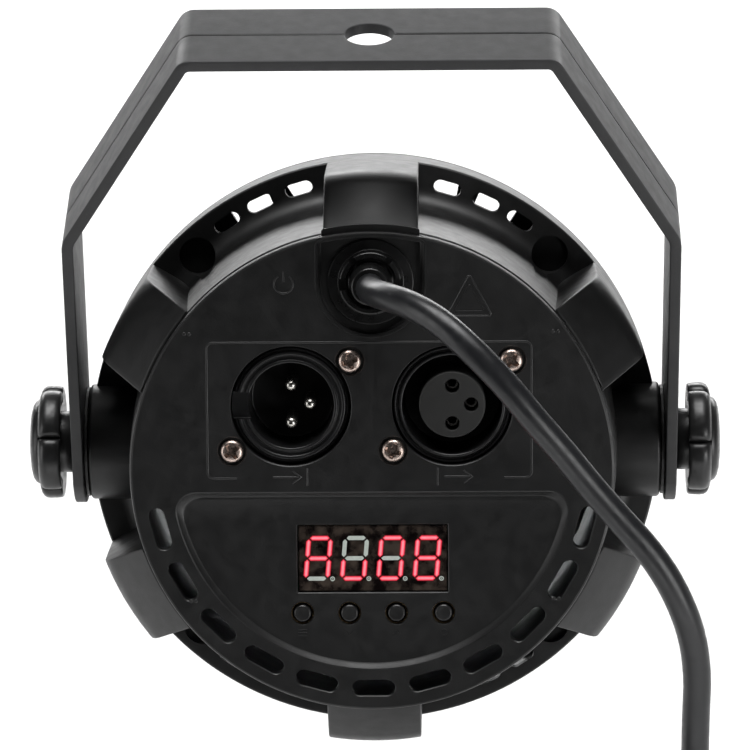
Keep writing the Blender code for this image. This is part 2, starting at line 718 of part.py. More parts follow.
def turned_x(bm, profile, segments):
    """Turned solid about X: profile is (radius, x)."""
    start = len(bm.verts)
    turned(bm, profile, segments)
    bm.verts.ensure_lookup_table()
    swap = Matrix(((0, 1, 0), (1, 0, 0), (0, 0, 1)))
    for vert in bm.verts[start:]:
        vert.co = swap @ vert.co


def make_pivot(side, mats, lamp):
    label = "left" if side < 0 else "right"

    def flip(points):
        return [(r, side * x) for r, x in points]

    solid(f"friction_washer_{label}", mats["rubber"], lamp,
          lambda bm: turned_x(bm, flip([(LEG_HOLE_R, WASHER[0]), (WASHER_R, WASHER[0]),
                                        (WASHER_R, WASHER[1]), (LEG_HOLE_R, WASHER[1])]), 28))
    start, end, inner, outer = INSERT
    solid(f"threaded_insert_{label}", mats["brass"], lamp,
          lambda bm: turned_x(bm, flip([(inner, start), (outer, start), (outer, end),
                                        (inner, end)]), 14))
    tip, tail = CLAMP_SCREW
    solid(f"clamp_screw_{label}", mats["nickel"], lamp,
          lambda bm: turned_x(bm, flip([(0.0, tip), (CLAMP_SCREW_R - 0.6, tip),
                                        (CLAMP_SCREW_R, tip + 0.6), (CLAMP_SCREW_R, tail),
                                        (0.0, tail)]), 12))
    faces = sorted(side * x for x in KNOB_BODY)
    knob = solid(f"knob_{label}", mats["gloss_black"], lamp,
                 lambda bm: prism(bm, knob_outline(KNOB_TURNS[label]), *faces, axis="X"))
    bevel = knob.modifiers.new("edges", "BEVEL")
    bevel.width = 0.8 * MM
    bevel.segments = 1
    bevel.limit_method = "ANGLE"
    bevel.angle_limit = math.radians(60.0)
    collar_end, collar_r = KNOB_COLLAR
    collar = [(0.0, collar_end), (collar_r, collar_end), (collar_r, 66.0), (0.0, 66.0)]
    join(knob, lambda bm: turned_x(bm, flip(collar), 20))
    cap = [(0.0, 69.0), (8.8, 69.0), (8.8, 69.9), (7.4, 71.2), (4.0, 71.9), (0.0, 72.0)]
    join(knob, lambda bm: turned_x(bm, flip(cap), 20))
    bore = sorted((side * (collar_end - 2.9), side * (tail + 0.4)))
    cut(knob, lambda bm: prism(bm, circle(CLAMP_SCREW_R + GAP, 12), *bore, axis="X"))


# ---------------------------------------------------------------- mains lead
def to_world(point):
    """From the lamp's frame about the pivot to the world, in millimetres."""
    tilt = Euler((math.radians(TILT), 0.0, 0.0)).to_matrix()
    return tilt @ Vector(point) + Vector((0.0, 0.0, PIVOT_Z))


def lead_route():
    """The free run of the lead: out of the gland, down across the panel, then plumb."""
    on_lamp = [(0.0, GLAND_TIP - GAP, POCKET_Z), (0.0, -50.6, POCKET_Z), (1.0, -57.0, 38.5),
               (3.8, -63.8, 38.5), (8.4, -69.8, 37.6), (13.9, -74.6, 35.0), (19.6, -77.9, 30.4),
               (25.7, -79.2, 24.3), (31.8, -78.2, 16.8), (37.5, -76.2, 9.8), (43.1, -74.2, 2.6),
               (48.7, -72.7, -4.1), (52.9, -71.8, -8.9)]
    points = [to_world(place) for place in on_lamp]
    drop_x, drop_y = COIL_X + COIL_R, COIL_Y + COIL_PITCH * COIL_TURNS / 2.0
    points += [Vector((drop_x - 7.2, drop_y + 0.5, -82.2)), Vector((drop_x - 3.7, drop_y, -89.3)),
               Vector((drop_x - 1.2, drop_y, -97.2)), Vector((drop_x, drop_y, -106.0)),
               Vector((drop_x, drop_y, -116.0)), Vector((drop_x, drop_y, -128.0)),
               Vector((drop_x, drop_y, -141.0)), Vector((drop_x, drop_y, COIL_Z + COIL_CLEAR))]
    return points


def make_lead(mats, lamp):
    tube("mains_lead", lead_route(), CORD_D, mats["cord_pvc"], None, 9.0)
    inner, outer = COIL_R - CORD_D / 2.0, COIL_R + CORD_D / 2.0
    half = (COIL_PITCH * COIL_TURNS + CORD_D) / 2.0
    coil = [(inner, COIL_Y - half), (outer, COIL_Y - half), (outer, COIL_Y + half),
            (inner, COIL_Y + half)]
    solid("mains_lead_coil", mats["cord_pvc"], None,
          lambda bm: turned(bm, coil, 36, (COIL_X, COIL_Z)))

    def band(bm, grow, low, high):
        edge = COIL_X + COIL_R
        reach = CORD_D / 2.0 + grow
        prism(bm, [(edge - reach - 0.25, COIL_Y - half - grow), (edge + reach, COIL_Y - half - grow),
                   (edge + reach, COIL_Y + half + grow), (edge - reach - 0.25, COIL_Y + half + grow)],
              COIL_Z + low, COIL_Z + high, axis="Z")
    tie = solid("cable_tie", mats["black_plastic"], None, lambda bm: band(bm, 1.5, -2.2, 2.2))
    cut(tie, lambda bm: band(bm, GAP, -4.0, 4.0))

    tail_x, tail_y = COIL_X + COIL_R, COIL_Y - COIL_PITCH * COIL_TURNS / 2.0
    tail = [Vector((tail_x, tail_y, COIL_Z - COIL_CLEAR)), Vector((tail_x, tail_y, PLUG_TOP + GAP))]
    tube("mains_lead_tail", tail, CORD_D, mats["cord_pvc"], None, 8.0)
    make_plug(mats, tail_x, tail_y)


def make_plug(mats, x, y):
    """Moulded straight plug with two flat blades and a round earth pin."""
    def section(half_w, half_d, z, corner=0.35):
        cut_x, cut_y = half_w * corner, half_d * corner
        return [(x + u, y + v, z) for u, v in (
            (half_w, -half_d + cut_y), (half_w, half_d - cut_y), (half_w - cut_x, half_d),
            (cut_x - half_w, half_d), (-half_w, half_d - cut_y), (-half_w, cut_y - half_d),
            (cut_x - half_w, -half_d), (half_w - cut_x, -half_d))]

    def body(bm):
        levels = [(3.8, 3.8, 0.0), (4.6, 4.6, -13.0), (9.0, 7.0, -17.0), (10.0, 8.2, -24.0),
                  (9.6, 8.0, -31.0), (13.4, 11.2, -34.5), (13.4, 11.2, -38.0)]
        rings = [[bm.verts.new(p) for p in section(w, d, PLUG_TOP + drop)] for w, d, drop in levels]
        for low, high in zip(rings, rings[1:]):
            for i in range(8):
                j = (i + 1) % 8
                bm.faces.new([low[i], low[j], high[j], high[i]])
        bm.faces.new(rings[0])
        bm.faces.new(rings[-1])
    solid("mains_plug", mats["rubber"], None, body)
    face = PLUG_TOP - 38.0 - GAP
    for label, side in (("left", -1.0), ("right", 1.0)):
        low, high = x + side * 6.35 - 0.75, x + side * 6.35 + 0.75
        shape = [(low, y - 5.2), (high, y - 5.2), (high, y + 1.2), (low, y + 1.2)]
        solid(f"plug_blade_{label}", mats["brass"], None,
              lambda bm: prism(bm, shape, face - 16.0, face, axis="Z"))
    solid("plug_earth_pin", mats["brass"], None,
          lambda bm: prism(bm, circle(2.4, 16, x, y + 7.4), face - 18.0, face, axis="Z"))


def make_gland(mats, lamp):
    floor = PANEL_Y + POCKET_DEPTH
    profile = [(0.0, GLAND_BACK), (4.6, GLAND_BACK), (GLAND_R, GLAND_BACK - 0.8), (GLAND_R, floor - GAP),
               (8.7, floor - GAP), (8.7, floor - GAP - 0.9), (8.2, floor - GAP - 1.4),
               (6.2, floor - GAP - 1.4), (5.6, floor - 3.4), (3.6, GLAND_TIP), (0.0, GLAND_TIP)]
    solid("strain_relief", mats["rubber"], lamp,
          lambda bm: turned(bm, profile, 20, (0.0, POCKET_Z)))


def build():
    for obj in list(bpy.data.objects):
        bpy.data.objects.remove(obj)
    mats = make_materials()
    make_yoke(mats)
    lamp = bpy.data.objects.new("lamp_pivot", None)
    bpy.context.scene.collection.objects.link(lamp)
    lamp.location = (0.0, 0.0, PIVOT_Z * MM)
    lamp.rotation_euler = (math.radians(TILT), 0.0, 0.0)
    make_housing(mats, lamp)
    make_bezel(mats, lamp)
    make_panel(mats, lamp)
    make_optics(mats, lamp)
    make_boards(mats, lamp)
    make_connectors(mats, lamp)
    make_screws(mats, lamp)
    for side in (-1.0, 1.0):
        make_pivot(side, mats, lamp)
    make_gland(mats, lamp)
    make_lead(mats, lamp)


build()
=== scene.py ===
"""Looks of the small par can light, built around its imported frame.

Pieces on the lamp are drawn in millimetres in the lamp's own frame: its origin
is the pivot, +Y is the way the beam leaves and +Z is up when the beam is level.
"""
import json
from math import atan2, copysign, cos, degrees, pi, radians, sin, sqrt, tan

import bmesh
import bpy
from mathutils import Matrix, Vector


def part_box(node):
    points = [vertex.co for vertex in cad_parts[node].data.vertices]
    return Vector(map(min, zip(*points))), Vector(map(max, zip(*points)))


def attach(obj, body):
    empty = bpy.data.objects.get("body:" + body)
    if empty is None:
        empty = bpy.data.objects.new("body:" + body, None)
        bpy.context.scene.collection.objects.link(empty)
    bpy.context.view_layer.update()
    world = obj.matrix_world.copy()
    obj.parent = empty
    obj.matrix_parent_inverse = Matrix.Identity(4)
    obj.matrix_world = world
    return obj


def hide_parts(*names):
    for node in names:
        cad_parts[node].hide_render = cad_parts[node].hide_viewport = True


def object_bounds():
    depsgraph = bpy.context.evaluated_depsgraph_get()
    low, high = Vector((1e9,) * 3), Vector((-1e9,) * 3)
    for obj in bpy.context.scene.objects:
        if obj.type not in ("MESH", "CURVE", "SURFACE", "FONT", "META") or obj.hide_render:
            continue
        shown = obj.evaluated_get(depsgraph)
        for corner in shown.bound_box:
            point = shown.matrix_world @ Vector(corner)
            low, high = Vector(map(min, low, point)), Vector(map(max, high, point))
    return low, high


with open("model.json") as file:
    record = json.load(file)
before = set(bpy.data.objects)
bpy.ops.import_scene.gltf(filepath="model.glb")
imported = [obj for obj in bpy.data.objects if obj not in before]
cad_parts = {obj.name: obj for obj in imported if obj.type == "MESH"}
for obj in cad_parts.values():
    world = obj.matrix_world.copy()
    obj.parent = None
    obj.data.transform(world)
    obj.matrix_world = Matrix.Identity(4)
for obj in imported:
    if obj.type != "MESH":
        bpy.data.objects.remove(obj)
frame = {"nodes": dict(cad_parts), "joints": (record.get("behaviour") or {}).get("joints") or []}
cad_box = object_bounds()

MM = 0.001
JOINTS = {joint["name"]: joint for joint in frame["joints"]}
PIVOT = Vector(JOINTS["lamp_tilt"]["pos_m"])
BEAM = Vector(JOINTS["button_1_press"]["axis"])
LAMP = Matrix.Translation(PIVOT) @ Matrix.Rotation(atan2(BEAM.z, BEAM.y), 4, "X")
WORLD = Matrix.Identity(4)


def lamp_box(node):
    """Lowest and highest corner of a CAD node in the lamp's frame, in millimetres."""
    back = LAMP.inverted()
    places = [(back @ vert.co) / MM for vert in frame["nodes"][node].data.vertices]
    low = Vector(min(place[i] for place in places) for i in range(3))
    high = Vector(max(place[i] for place in places) for i in range(3))
    return low, high


def lamp_centre(node):
    low, high = lamp_box(node)
    return (low + high) / 2.0


def world_box(node):
    """Lowest and highest corner of a CAD node in the world, in millimetres."""
    return [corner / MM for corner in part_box(node)]


# Sizes of the case, in millimetres, read from the frame where it has them.
PANEL_Y = lamp_box("rear_panel")[0].y      # outer face of the rear panel
PANEL_BACK = lamp_box("rear_panel")[1].y
PANEL_R = lamp_box("rear_panel")[1].x
DRUM_REAR = PANEL_BACK + 0.3
RING_R = lamp_box("front_bezel")[1].x
BEZEL_REAR, BEZEL_FRONT = (corner.y for corner in lamp_box("front_bezel"))
RING_FRONT = BEZEL_REAR - 0.3
RING_REAR = -1.4
FLANGE_FRONT = 0.8
DUCT_R = 57.6
BARREL_R = 51.6
BORE_R = 49.6
DRUM_REAR_R = 49.0
DRUM_BORE_R = 47.2
BORE_STEP = 7.0                            # where the bore widens for the front window
LUG_W = 19.0
LUG_R = RING_R - 0.02
SLOT_R = 55.2
SLOT_LENGTH, SLOT_WIDTH = 5.8, 2.7
SLOT_ANGLES = (16.2, 25.1, 33.4)
WELL_R = 53.6
WELL_BORE_R = 3.8
WELL_ANGLE = 43.0
RECESS_R = 40.5
RECESS_TOP = -3.9
RECESS_FLOOR = PANEL_Y + 1.2
POCKET_R = 10.4
POCKET_Z = lamp_centre("strain_relief").z
POCKET_FLOOR = PANEL_Y + 2.0
XLR_MALE = lamp_centre("xlr_male_shell")
XLR_FEMALE = lamp_centre("xlr_female_shell")
DISPLAY = lamp_centre("display_module")
PINS = [(3.8 * cos(a), 3.8 * sin(a)) for a in (pi / 2.0, 0.0, -pi / 2.0)]


# ---- drawing
def arc(cx, cy, r, start, end, count):
    """Points on an arc, angles in degrees, both ends included."""
    points = []
    for i in range(count + 1):
        angle = radians(start + (end - start) * i / count)
        points.append((cx + r * cos(angle), cy + r * sin(angle)))
    return points


def circle(r, count, cx=0.0, cy=0.0):
    return arc(cx, cy, r, 0.0, 360.0, count)[:-1]


def polar(radius, angle):
    turn = radians(angle)
    return (radius * cos(turn), radius * sin(turn))


def spun(u, v, angle, cx=0.0, cy=0.0):
    """A place turned about the origin by an angle in degrees, then moved."""
    turn = radians(angle)
    c, s = cos(turn), sin(turn)
    return (cx + u * c - v * s, cy + u * s + v * c)


def obround(length, width, angle, radius, count=10):
    """Round-ended slot across the radius, centred at a polar place."""
    half, r = (length - width) / 2.0, width / 2.0
    local = arc(half, 0.0, r, -90, 90, count) + arc(-half, 0.0, r, 90, 270, count)
    return [spun(u, v, angle - 90.0, *polar(radius, angle)) for u, v in local]


def rounded(corners, steps=4):
    """Closed outline through (u, v, fillet radius) corners."""
    line = []
    count = len(corners)
    for i, (u, v, radius) in enumerate(corners):
        if radius == 0.0:
            line.append((u, v))
            continue
        here = Vector((u, v))
        before = Vector(corners[i - 1][:2]) - here
        after = Vector(corners[(i + 1) % count][:2]) - here
        half = before.angle(after) / 2.0
        reach = min(radius / tan(half), 0.49 * before.length, 0.49 * after.length)
        size = reach * tan(half)
        before.normalize()
        after.normalize()
        centre = here + (before + after).normalized() * (size / sin(half))
        first, last = here + before * reach - centre, here + after * reach - centre
        for k in range(steps + 1):
            line.append(tuple(centre + first.lerp(last, k / steps).normalized() * size))
    return line


def box_outline(low_u, low_v, high_u, high_v, radius=0.0, steps=4):
    return rounded([(low_u, low_v, radius), (high_u, low_v, radius),
                    (high_u, high_v, radius), (low_u, high_v, radius)], steps)


def turned(bm, profile, segments=96, centre=(0.0, 0.0), axis="Y"):
    """Add a solid turned about a line along Y or X: profile is (radius, along)."""
    cu, cv = centre
    rings = []
    for k in range(segments):
        angle = 2.0 * pi * k / segments
        ring = []
        for r, along in profile:
            u, v = cu + r * cos(angle), cv + r * sin(angle)
            ring.append(bm.verts.new((u, along, v) if axis == "Y" else (along, u, v)))
        rings.append(ring)
    for k in range(segments):
        here, there = rings[k], rings[(k + 1) % segments]
        for i in range(len(profile)):
            j = (i + 1) % len(profile)
            if profile[i][0] == 0.0 and profile[j][0] == 0.0:
                continue
            bm.faces.new([here[i], here[j], there[j], there[i]])


def skin(bm, rings):
    """Skin rings of equal counts, and close both ends."""
    rows = [[bm.verts.new(place) for place in ring] for ring in rings]
    count = len(rows[0])
    for low, high in zip(rows, rows[1:]):
        for i in range(count):
            j = (i + 1) % count
            bm.faces.new([low[i], low[j], high[j], high[i]])
    bm.faces.new(rows[0])
    bm.faces.new(rows[-1])


def stack(bm, levels, outline_at):
    """Skin an outline in X and Z that changes with the size at each (y, size) level."""
    skin(bm, [[(x, y, z) for x, z in outline_at(size)] for y, size in levels])


def prism(bm, outline, low, high, axis="Y"):
    """Add an extrusion of a closed 2-D outline from low to high."""
    def at(u, v, w):
        return {"Y": (u, w, v), "X": (w, u, v), "Z": (u, v, w)}[axis]
    skin(bm, [[at(u, v, w) for u, v in outline] for w in (low, high)])


def ridge(bm, points, width, top, base, closed=False):
    """A raised line with sloping sides along points in X and Z."""
    count = len(points)
    rows = []
    for i, (x, z) in enumerate(points):
        here = Vector((x, z))
        before = here - Vector(points[i - 1]) if closed or i > 0 else None
        after = Vector(points[(i + 1) % count]) - here if closed or i < count - 1 else None
        before = (before or after).normalized()
        after = (after or before).normalized()
        along = (before + after).normalized()
        side = Vector((-along.y, along.x)) / max(0.4, along.dot(after))
        row = []
        for share, y in ((-0.5, base), (-0.22, top), (0.22, top), (0.5, base)):
            place = here + side * (width * share)
            row.append(bm.verts.new((place.x, y, place.y)))
        rows.append(row)
    for i in range(count if closed else count - 1):
        here, there = rows[i], rows[(i + 1) % count]
        for k in range(4):
            m = (k + 1) % 4
            bm.faces.new([here[k], here[m], there[m], there[k]])
    if not closed:
        bm.faces.new(rows[0])
        bm.faces.new(rows[-1])


def linked(name, data):
    """An object of this data, in the scene."""
    obj = bpy.data.objects.new(name, data)
    bpy.context.scene.collection.objects.link(obj)
    return obj


def new_object(name, draw, place=LAMP):
    bm = bmesh.new()
    draw(bm)
    bmesh.ops.remove_doubles(bm, verts=bm.verts, dist=1e-4)
    bmesh.ops.recalc_face_normals(bm, faces=bm.faces)
    bmesh.ops.scale(bm, vec=(MM, MM, MM), verts=bm.verts)
    mesh = bpy.data.meshes.new(name)
    bm.to_mesh(mesh)
    bm.free()
    obj = linked(name, mesh)
    obj.matrix_world = place
    return obj


def bevel(obj, width, segments=2, angle=32.0):
    mod = obj.modifiers.new("edges", "BEVEL")
    mod.width = width * MM
    mod.segments = segments
    mod.limit_method = "ANGLE"
    mod.angle_limit = radians(angle)
    mod.use_clamp_overlap = False


def settle(obj):
    """Apply an object's modifiers."""
    bpy.context.view_layer.update()
    graph = bpy.context.evaluated_depsgraph_get()
    result = bpy.data.meshes.new_from_object(obj.evaluated_get(graph))
    old = obj.data
    obj.modifiers.clear()
    obj.data = result
    bpy.data.meshes.remove(old)
    result.name = obj.name


def combine(target, operation, draw, edge=0.0):
    """Exact Boolean with a shape drawn in the target's frame, its edges rounded first."""
    other = new_object("other", draw, target.matrix_world.copy())
    if edge:
        bevel(other, edge, 3)
        settle(other)
    mod = target.modifiers.new(operation.lower(), "BOOLEAN")
    mod.operation = operation
    mod.solver = "EXACT"
    mod.object = other
    settle(target)
    bpy.data.objects.remove(other)


def cut(target, draw, edge=0.0):
    combine(target, "DIFFERENCE", draw, edge)


def join(target, draw, edge=0.0):
    combine(target, "UNION", draw, edge)


def dress(obj, look, body="lamp", nodes=(), edge=0.0, sharp=35.0):
    """Give a piece its material, its rounded edges and the body it rides on."""
    obj.data.materials.clear()
    obj.data.materials.append(LOOKS[look])
    for face in obj.data.polygons:
        face.material_index = 0
    obj.data.shade_smooth()
    if edge:
        bevel(obj, edge)
        obj.modifiers.new("normals", "WEIGHTED_NORMAL").keep_sharp = False
    else:
        obj.data.set_sharp_from_angle(angle=radians(sharp))
    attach(obj, body)
    if nodes:
        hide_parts(*nodes)
    return obj


def piece(name, look, draw, body="lamp", nodes=(), edge=0.0, sharp=35.0, place=LAMP):
    return dress(new_object(name, draw, place), look, body, nodes, edge, sharp)


# ---- materials
def put(node, **values):
    """Set a node's sockets, named with _ for each space."""
    for name, value in values.items():
        node.inputs[name.replace("_", " ")].default_value = value


def map_range(tree, source, start, end, low, high):
    node = tree.nodes.new("ShaderNodeMapRange")
    put(node, From_Min=start, From_Max=end, To_Min=low, To_Max=high)
    tree.links.new(source, node.inputs["Value"])
    return node


class Look:
    """One procedural material, read in the piece's own coordinates."""

    def __init__(self, name, metal=0.0, specular=0.5, ior=1.5):
        self.mat = bpy.data.materials.new(name)
        self.mat.use_nodes = True
        self.tree = self.mat.node_tree
        self.shader = self.tree.nodes["Principled BSDF"]
        put(self.shader, Metallic=metal, Specular_IOR_Level=specular, IOR=ior)
        self.link = self.tree.links.new
        self.place = self.node("TexCoord").outputs["Object"]

    def node(self, kind):
        return self.tree.nodes.new(f"ShaderNode{kind}")

    def noise(self, size, detail=2.0, stretch=(1.0, 1.0, 1.0)):
        """Noise with features of this size in millimetres, stretched along each axis."""
        mapping = self.node("Mapping")
        put(mapping, Scale=[1.0 / value for value in stretch])
        self.link(self.place, mapping.inputs["Vector"])
        node = self.node("TexNoise")
        put(node, Scale=1.0 / (size * MM), Detail=detail)
        self.link(mapping.outputs["Vector"], node.inputs["Vector"])
        return node.outputs["Fac"]

    def span(self, source, low, high, start=0.3, end=0.7):
        return map_range(self.tree, source, start, end, low, high).outputs["Result"]

    def blend(self, factor, first, second):
        """Colour between two, each a colour or the output of another node."""
        node = self.node("Mix")
        node.data_type = "RGBA"
        self.link(factor, node.inputs["Factor"])
        for colour, name in ((first, "A"), (second, "B")):
            socket = [s for s in node.inputs if s.name == name and s.type == "RGBA"][0]
            if isinstance(colour, tuple):
                socket.default_value = (*colour, 1.0)
            else:
                self.link(colour, socket)
        return [s for s in node.outputs if s.type == "RGBA"][0]

    def colour(self, source):
        self.link(source, self.shader.inputs["Base Color"])

    def rough(self, source):
        self.link(source, self.shader.inputs["Roughness"])

    def bump(self, *layers):
        """Stack bumps, each a height source and its height in millimetres."""
        before = None
        for source, height in layers:
            node = self.node("Bump")
            put(node, Strength=1.0, Distance=height * MM)
            self.link(source, node.inputs["Height"])
            if before is not None:
                self.link(before, node.inputs["Normal"])
            before = node.outputs["Normal"]
        self.link(before, self.shader.inputs["Normal"])

    def edges(self, low, high):
        """Nought on faces and one along outward edges."""
        return self.span(self.node("NewGeometry").outputs["Pointiness"], 0.0, 1.0, low, high)


def tint(colour, factor):
    return tuple(min(1.0, value * factor) for value in colour)


def plastic(name, colour, rough, grain=0.35, height=0.006, specular=0.5):
    """Moulded plastic: fine grain, uneven gloss, faint dust and rubbed edges."""
    look = Look(name, specular=specular)
    patches = look.span(look.noise(9.0, 4.0), 0.0, 1.0)
    base = look.blend(patches, tint(colour, 0.88), tint(colour, 1.12))
    dust = look.span(look.noise(0.55, 3.0), 0.0, 0.35, 0.60, 0.78)
    dusty = look.blend(dust, base, tint(colour, 2.1))
    look.colour(look.blend(look.edges(0.52, 0.62), dusty, tint(colour, 1.6)))
    look.rough(look.span(look.noise(3.0, 4.0), rough - 0.05, rough + 0.05))
    look.bump((look.noise(grain, 2.0), height), (look.noise(14.0, 1.0), 0.005))
    return look.mat


def gloss(name, colour, rough):
    """Gloss moulding with light scuffs and fine scratches."""
    look = Look(name)
    look.colour(look.blend(look.span(look.noise(4.0, 3.0), 0.0, 1.0), colour, tint(colour, 1.5)))
    scuffs = look.noise(1.1, 5.0, (1.0, 6.0, 1.0))
    look.rough(look.span(scuffs, rough, rough + 0.16, 0.45, 0.75))
    look.bump((look.noise(2.6, 1.0), 0.012), (look.noise(0.25, 2.0), 0.0012))
    return look.mat


def sheath(name, colour, rough):
    """Extruded sheath: faint waviness along the run and rubbed-on dust."""
    look = Look(name)
    dust = look.span(look.noise(0.8, 4.0), 0.0, 0.3, 0.6, 0.85)
    look.colour(look.blend(dust, colour, tint(colour, 1.8)))
    look.rough(look.span(look.noise(2.2, 3.0), rough - 0.06, rough + 0.08))
    look.bump((look.noise(0.22, 2.0), 0.002), (look.noise(6.0, 1.0), 0.008))
    return look.mat


def metal(name, colour, rough, size=0.3, stretch=(1.0, 1.0, 1.0), tarnish=0.6):
    """Plated or machined metal with tarnish and fine tool marks."""
    look = Look(name, metal=1.0)
    stain = look.span(look.noise(0.9, 4.0), 0.0, 1.0, 0.35, 0.75)
    look.colour(look.blend(stain, colour, tint(colour, tarnish)))
    marks = look.noise(size, 4.0, stretch)
    look.rough(look.span(marks, rough - 0.07, rough + 0.12))
    look.bump((marks, 0.0025))
    return look.mat


def board(name, mask, copper):
    """Solder mask with the tracks showing through."""
    look = Look(name)
    tracks = look.node("TexVoronoi")
    tracks.distance = "CHEBYCHEV"
    tracks.feature = "DISTANCE_TO_EDGE"
    put(tracks, Scale=1.0 / (3.2 * MM), Randomness=0.75)
    look.link(look.place, tracks.inputs["Vector"])
    line = look.span(tracks.outputs["Distance"], 1.0, 0.0, 0.04, 0.07)
    look.colour(look.blend(line, mask, copper))
    look.rough(look.span(look.noise(1.5, 3.0), 0.28, 0.45))
    look.bump((line, 0.02))
    return look.mat


def clear(name, rough):
    """Clear moulding with the odd fine scratch."""
    look = Look(name, ior=1.49)
    put(look.shader, Transmission_Weight=0.96)
    look.colour(look.blend(look.noise(6.0, 2.0), (0.93, 0.95, 0.96), (0.98, 0.99, 0.99)))
    look.rough(look.span(look.noise(0.8, 5.0, (1.0, 1.0, 5.0)), rough, rough + 0.08, 0.5, 0.8))
    look.bump((look.noise(3.0, 1.0), 0.004))
    return look.mat


def film(name):
    """Dark smoked face of the display, slightly uneven, with dust in the gloss."""
    look = Look(name, ior=1.55)
    mottle = look.span(look.noise(2.4, 3.0), 0.0, 1.0, 0.38, 0.66)
    look.colour(look.blend(mottle, (0.0035, 0.002, 0.002), (0.055, 0.042, 0.034)))
    look.rough(look.span(look.noise(1.3, 3.0), 0.08, 0.24))
    look.bump((look.noise(2.0, 2.0), 0.03))
    return look.mat


def glow_segment(name, colour, glow, strength):
    """Diffused light-emitting segment, brighter in places where its chip sits; the unlit segments use
    it too, and their glow is painted light standing in for light on their pale diffuser.
    """
    look = Look(name)
    spot = look.span(look.noise(0.7, 2.0), 0.0, 1.0)
    look.colour(look.blend(spot, tint(colour, 0.85), colour))
    shade = look.blend(spot, tint(glow, 0.86), glow)
    look.link(shade, look.shader.inputs["Emission Color"])
    put(look.shader, Emission_Strength=strength)
    look.rough(look.span(look.noise(0.4, 2.0), 0.3, 0.5))
    return look.mat


LOOKS = {
    "yoke_black": plastic("yoke_black", (0.026, 0.026, 0.027), 0.52, 0.42, 0.020),
    "case_black": plastic("case_black", (0.0060, 0.0060, 0.0061), 0.44, 0.30, 0.014),
    "gloss_black": gloss("gloss_black", (0.012, 0.012, 0.0122), 0.30),
    "connector_black": plastic("connector_black", (0.009, 0.009, 0.0095), 0.34, 0.2, 0.003),
    "rubber_black": plastic("rubber_black", (0.012, 0.012, 0.012), 0.52, 0.3, 0.008),
    "cord_black": sheath("cord_black", (0.010, 0.0105, 0.012), 0.36),
    "loom_black": sheath("loom_black", (0.012, 0.012, 0.012), 0.40),
    "tie_black": plastic("tie_black", (0.014, 0.014, 0.014), 0.32, 0.5, 0.004),
    "nickel": metal("nickel", (0.62, 0.50, 0.44), 0.30),
    "silver_contact": metal("silver_contact", (0.62, 0.60, 0.56), 0.24, 0.2, (1.0, 6.0, 1.0), 0.7),
    "brass": metal("brass", (0.72, 0.52, 0.30), 0.30, 0.3, (1.0, 1.0, 8.0)),
    "aluminium": metal("aluminium", (0.76, 0.77, 0.78), 0.38, 0.25, (1.0, 1.0, 14.0), 0.85),
    "white_board": board("white_board", (0.72, 0.73, 0.71), (0.60, 0.60, 0.58)),
    "green_board": board("green_board", (0.010, 0.080, 0.035), (0.045, 0.19, 0.09)),
    "clear": clear("clear", 0.03),
    "display_film": film("display_film"),
}
LIT = glow_segment("segment_lit", (0.30, 0.02, 0.03), (0.92, 0.055, 0.10), 0.95)
CORE = glow_segment("segment_core", (0.50, 0.16, 0.18), (0.95, 0.24, 0.30), 0.85)
HALO = glow_segment("segment_halo", (0.06, 0.0, 0.004), (0.40, 0.002, 0.010), 0.6)
# Unlit segments glow faintly: painted light on their pale diffuser, since these segments are not lit.
UNLIT_PAINTED_GLOW = glow_segment("segment_unlit_painted_glow", (0.36, 0.39, 0.36), (0.42, 0.47, 0.43), 0.42)
INSERT_GREY = plastic("insert_grey", (0.0135, 0.0135, 0.013), 0.58, 0.2, 0.005)
# Black bush, its colour darkened below the rubber look: painted shade for its place deep in the
# pocket.
GLAND_PAINTED_SHADE = plastic("gland_black_painted_shade", (0.0045, 0.0045, 0.0046), 0.30, 0.3, 0.004)
EMITTER = glow_segment("emitter_yellow", (0.85, 0.62, 0.10), (0.9, 0.6, 0.1), 0.02)


# ---- mains lead
CORD_D = 5.6
COIL_TURNS = 4
COIL_PITCH = 5.75
COIL_R = 31.0
COIL_X = 33.2
COIL_Y = -83.0
COIL_Z = -176.0
COIL_CLEAR = 20.6
PLUG_TOP = -214.0
GLAND_TIP = -47.5
DROP_X = COIL_X + COIL_R
DROP_Y = COIL_Y + COIL_PITCH * COIL_TURNS / 2.0
TAIL_Y = COIL_Y - COIL_PITCH * COIL_TURNS / 2.0


def lead_route():
    """From the gland down across the panel to the coil, in the world, in millimetres."""
    on_lamp = [(0.0, GLAND_TIP - 0.3, POCKET_Z), (0.0, -50.6, POCKET_Z), (1.0, -57.0, 38.5),
               (3.8, -63.8, 38.5), (8.4, -69.8, 37.6), (13.9, -74.6, 35.0), (19.6, -77.9, 30.4),
               (25.7, -79.2, 24.3), (31.8, -78.2, 16.8), (37.5, -76.2, 9.8), (43.1, -74.2, 2.6),
               (48.7, -72.7, -4.1), (52.9, -71.8, -8.9)]
    points = [LAMP @ (Vector(place) * MM) / MM for place in on_lamp]
    drop = [(-7.2, 0.5, -82.2), (-3.7, 0.0, -89.3), (-1.2, 0.0, -97.2), (0.0, 0.0, -106.0),
            (0.0, 0.0, -116.0), (0.0, 0.0, -128.0), (0.0, 0.0, -141.0),
            (0.0, 0.0, COIL_Z + COIL_CLEAR), (0.0, 0.0, COIL_Z + 8.0)]
    return points + [Vector((DROP_X + x, DROP_Y + y, z)) for x, y, z in drop]


def coil_route():
    """Turns side by side about a line along Y, begun and ended at the right, going down."""
    steps = 28 * COIL_TURNS
    points = []
    for k in range(steps + 1):
        angle = -2.0 * pi * COIL_TURNS * k / steps
        points.append(Vector((COIL_X + COIL_R * cos(angle),
                              DROP_Y + (TAIL_Y - DROP_Y) * k / steps,
                              COIL_Z + COIL_R * sin(angle))))
    return points


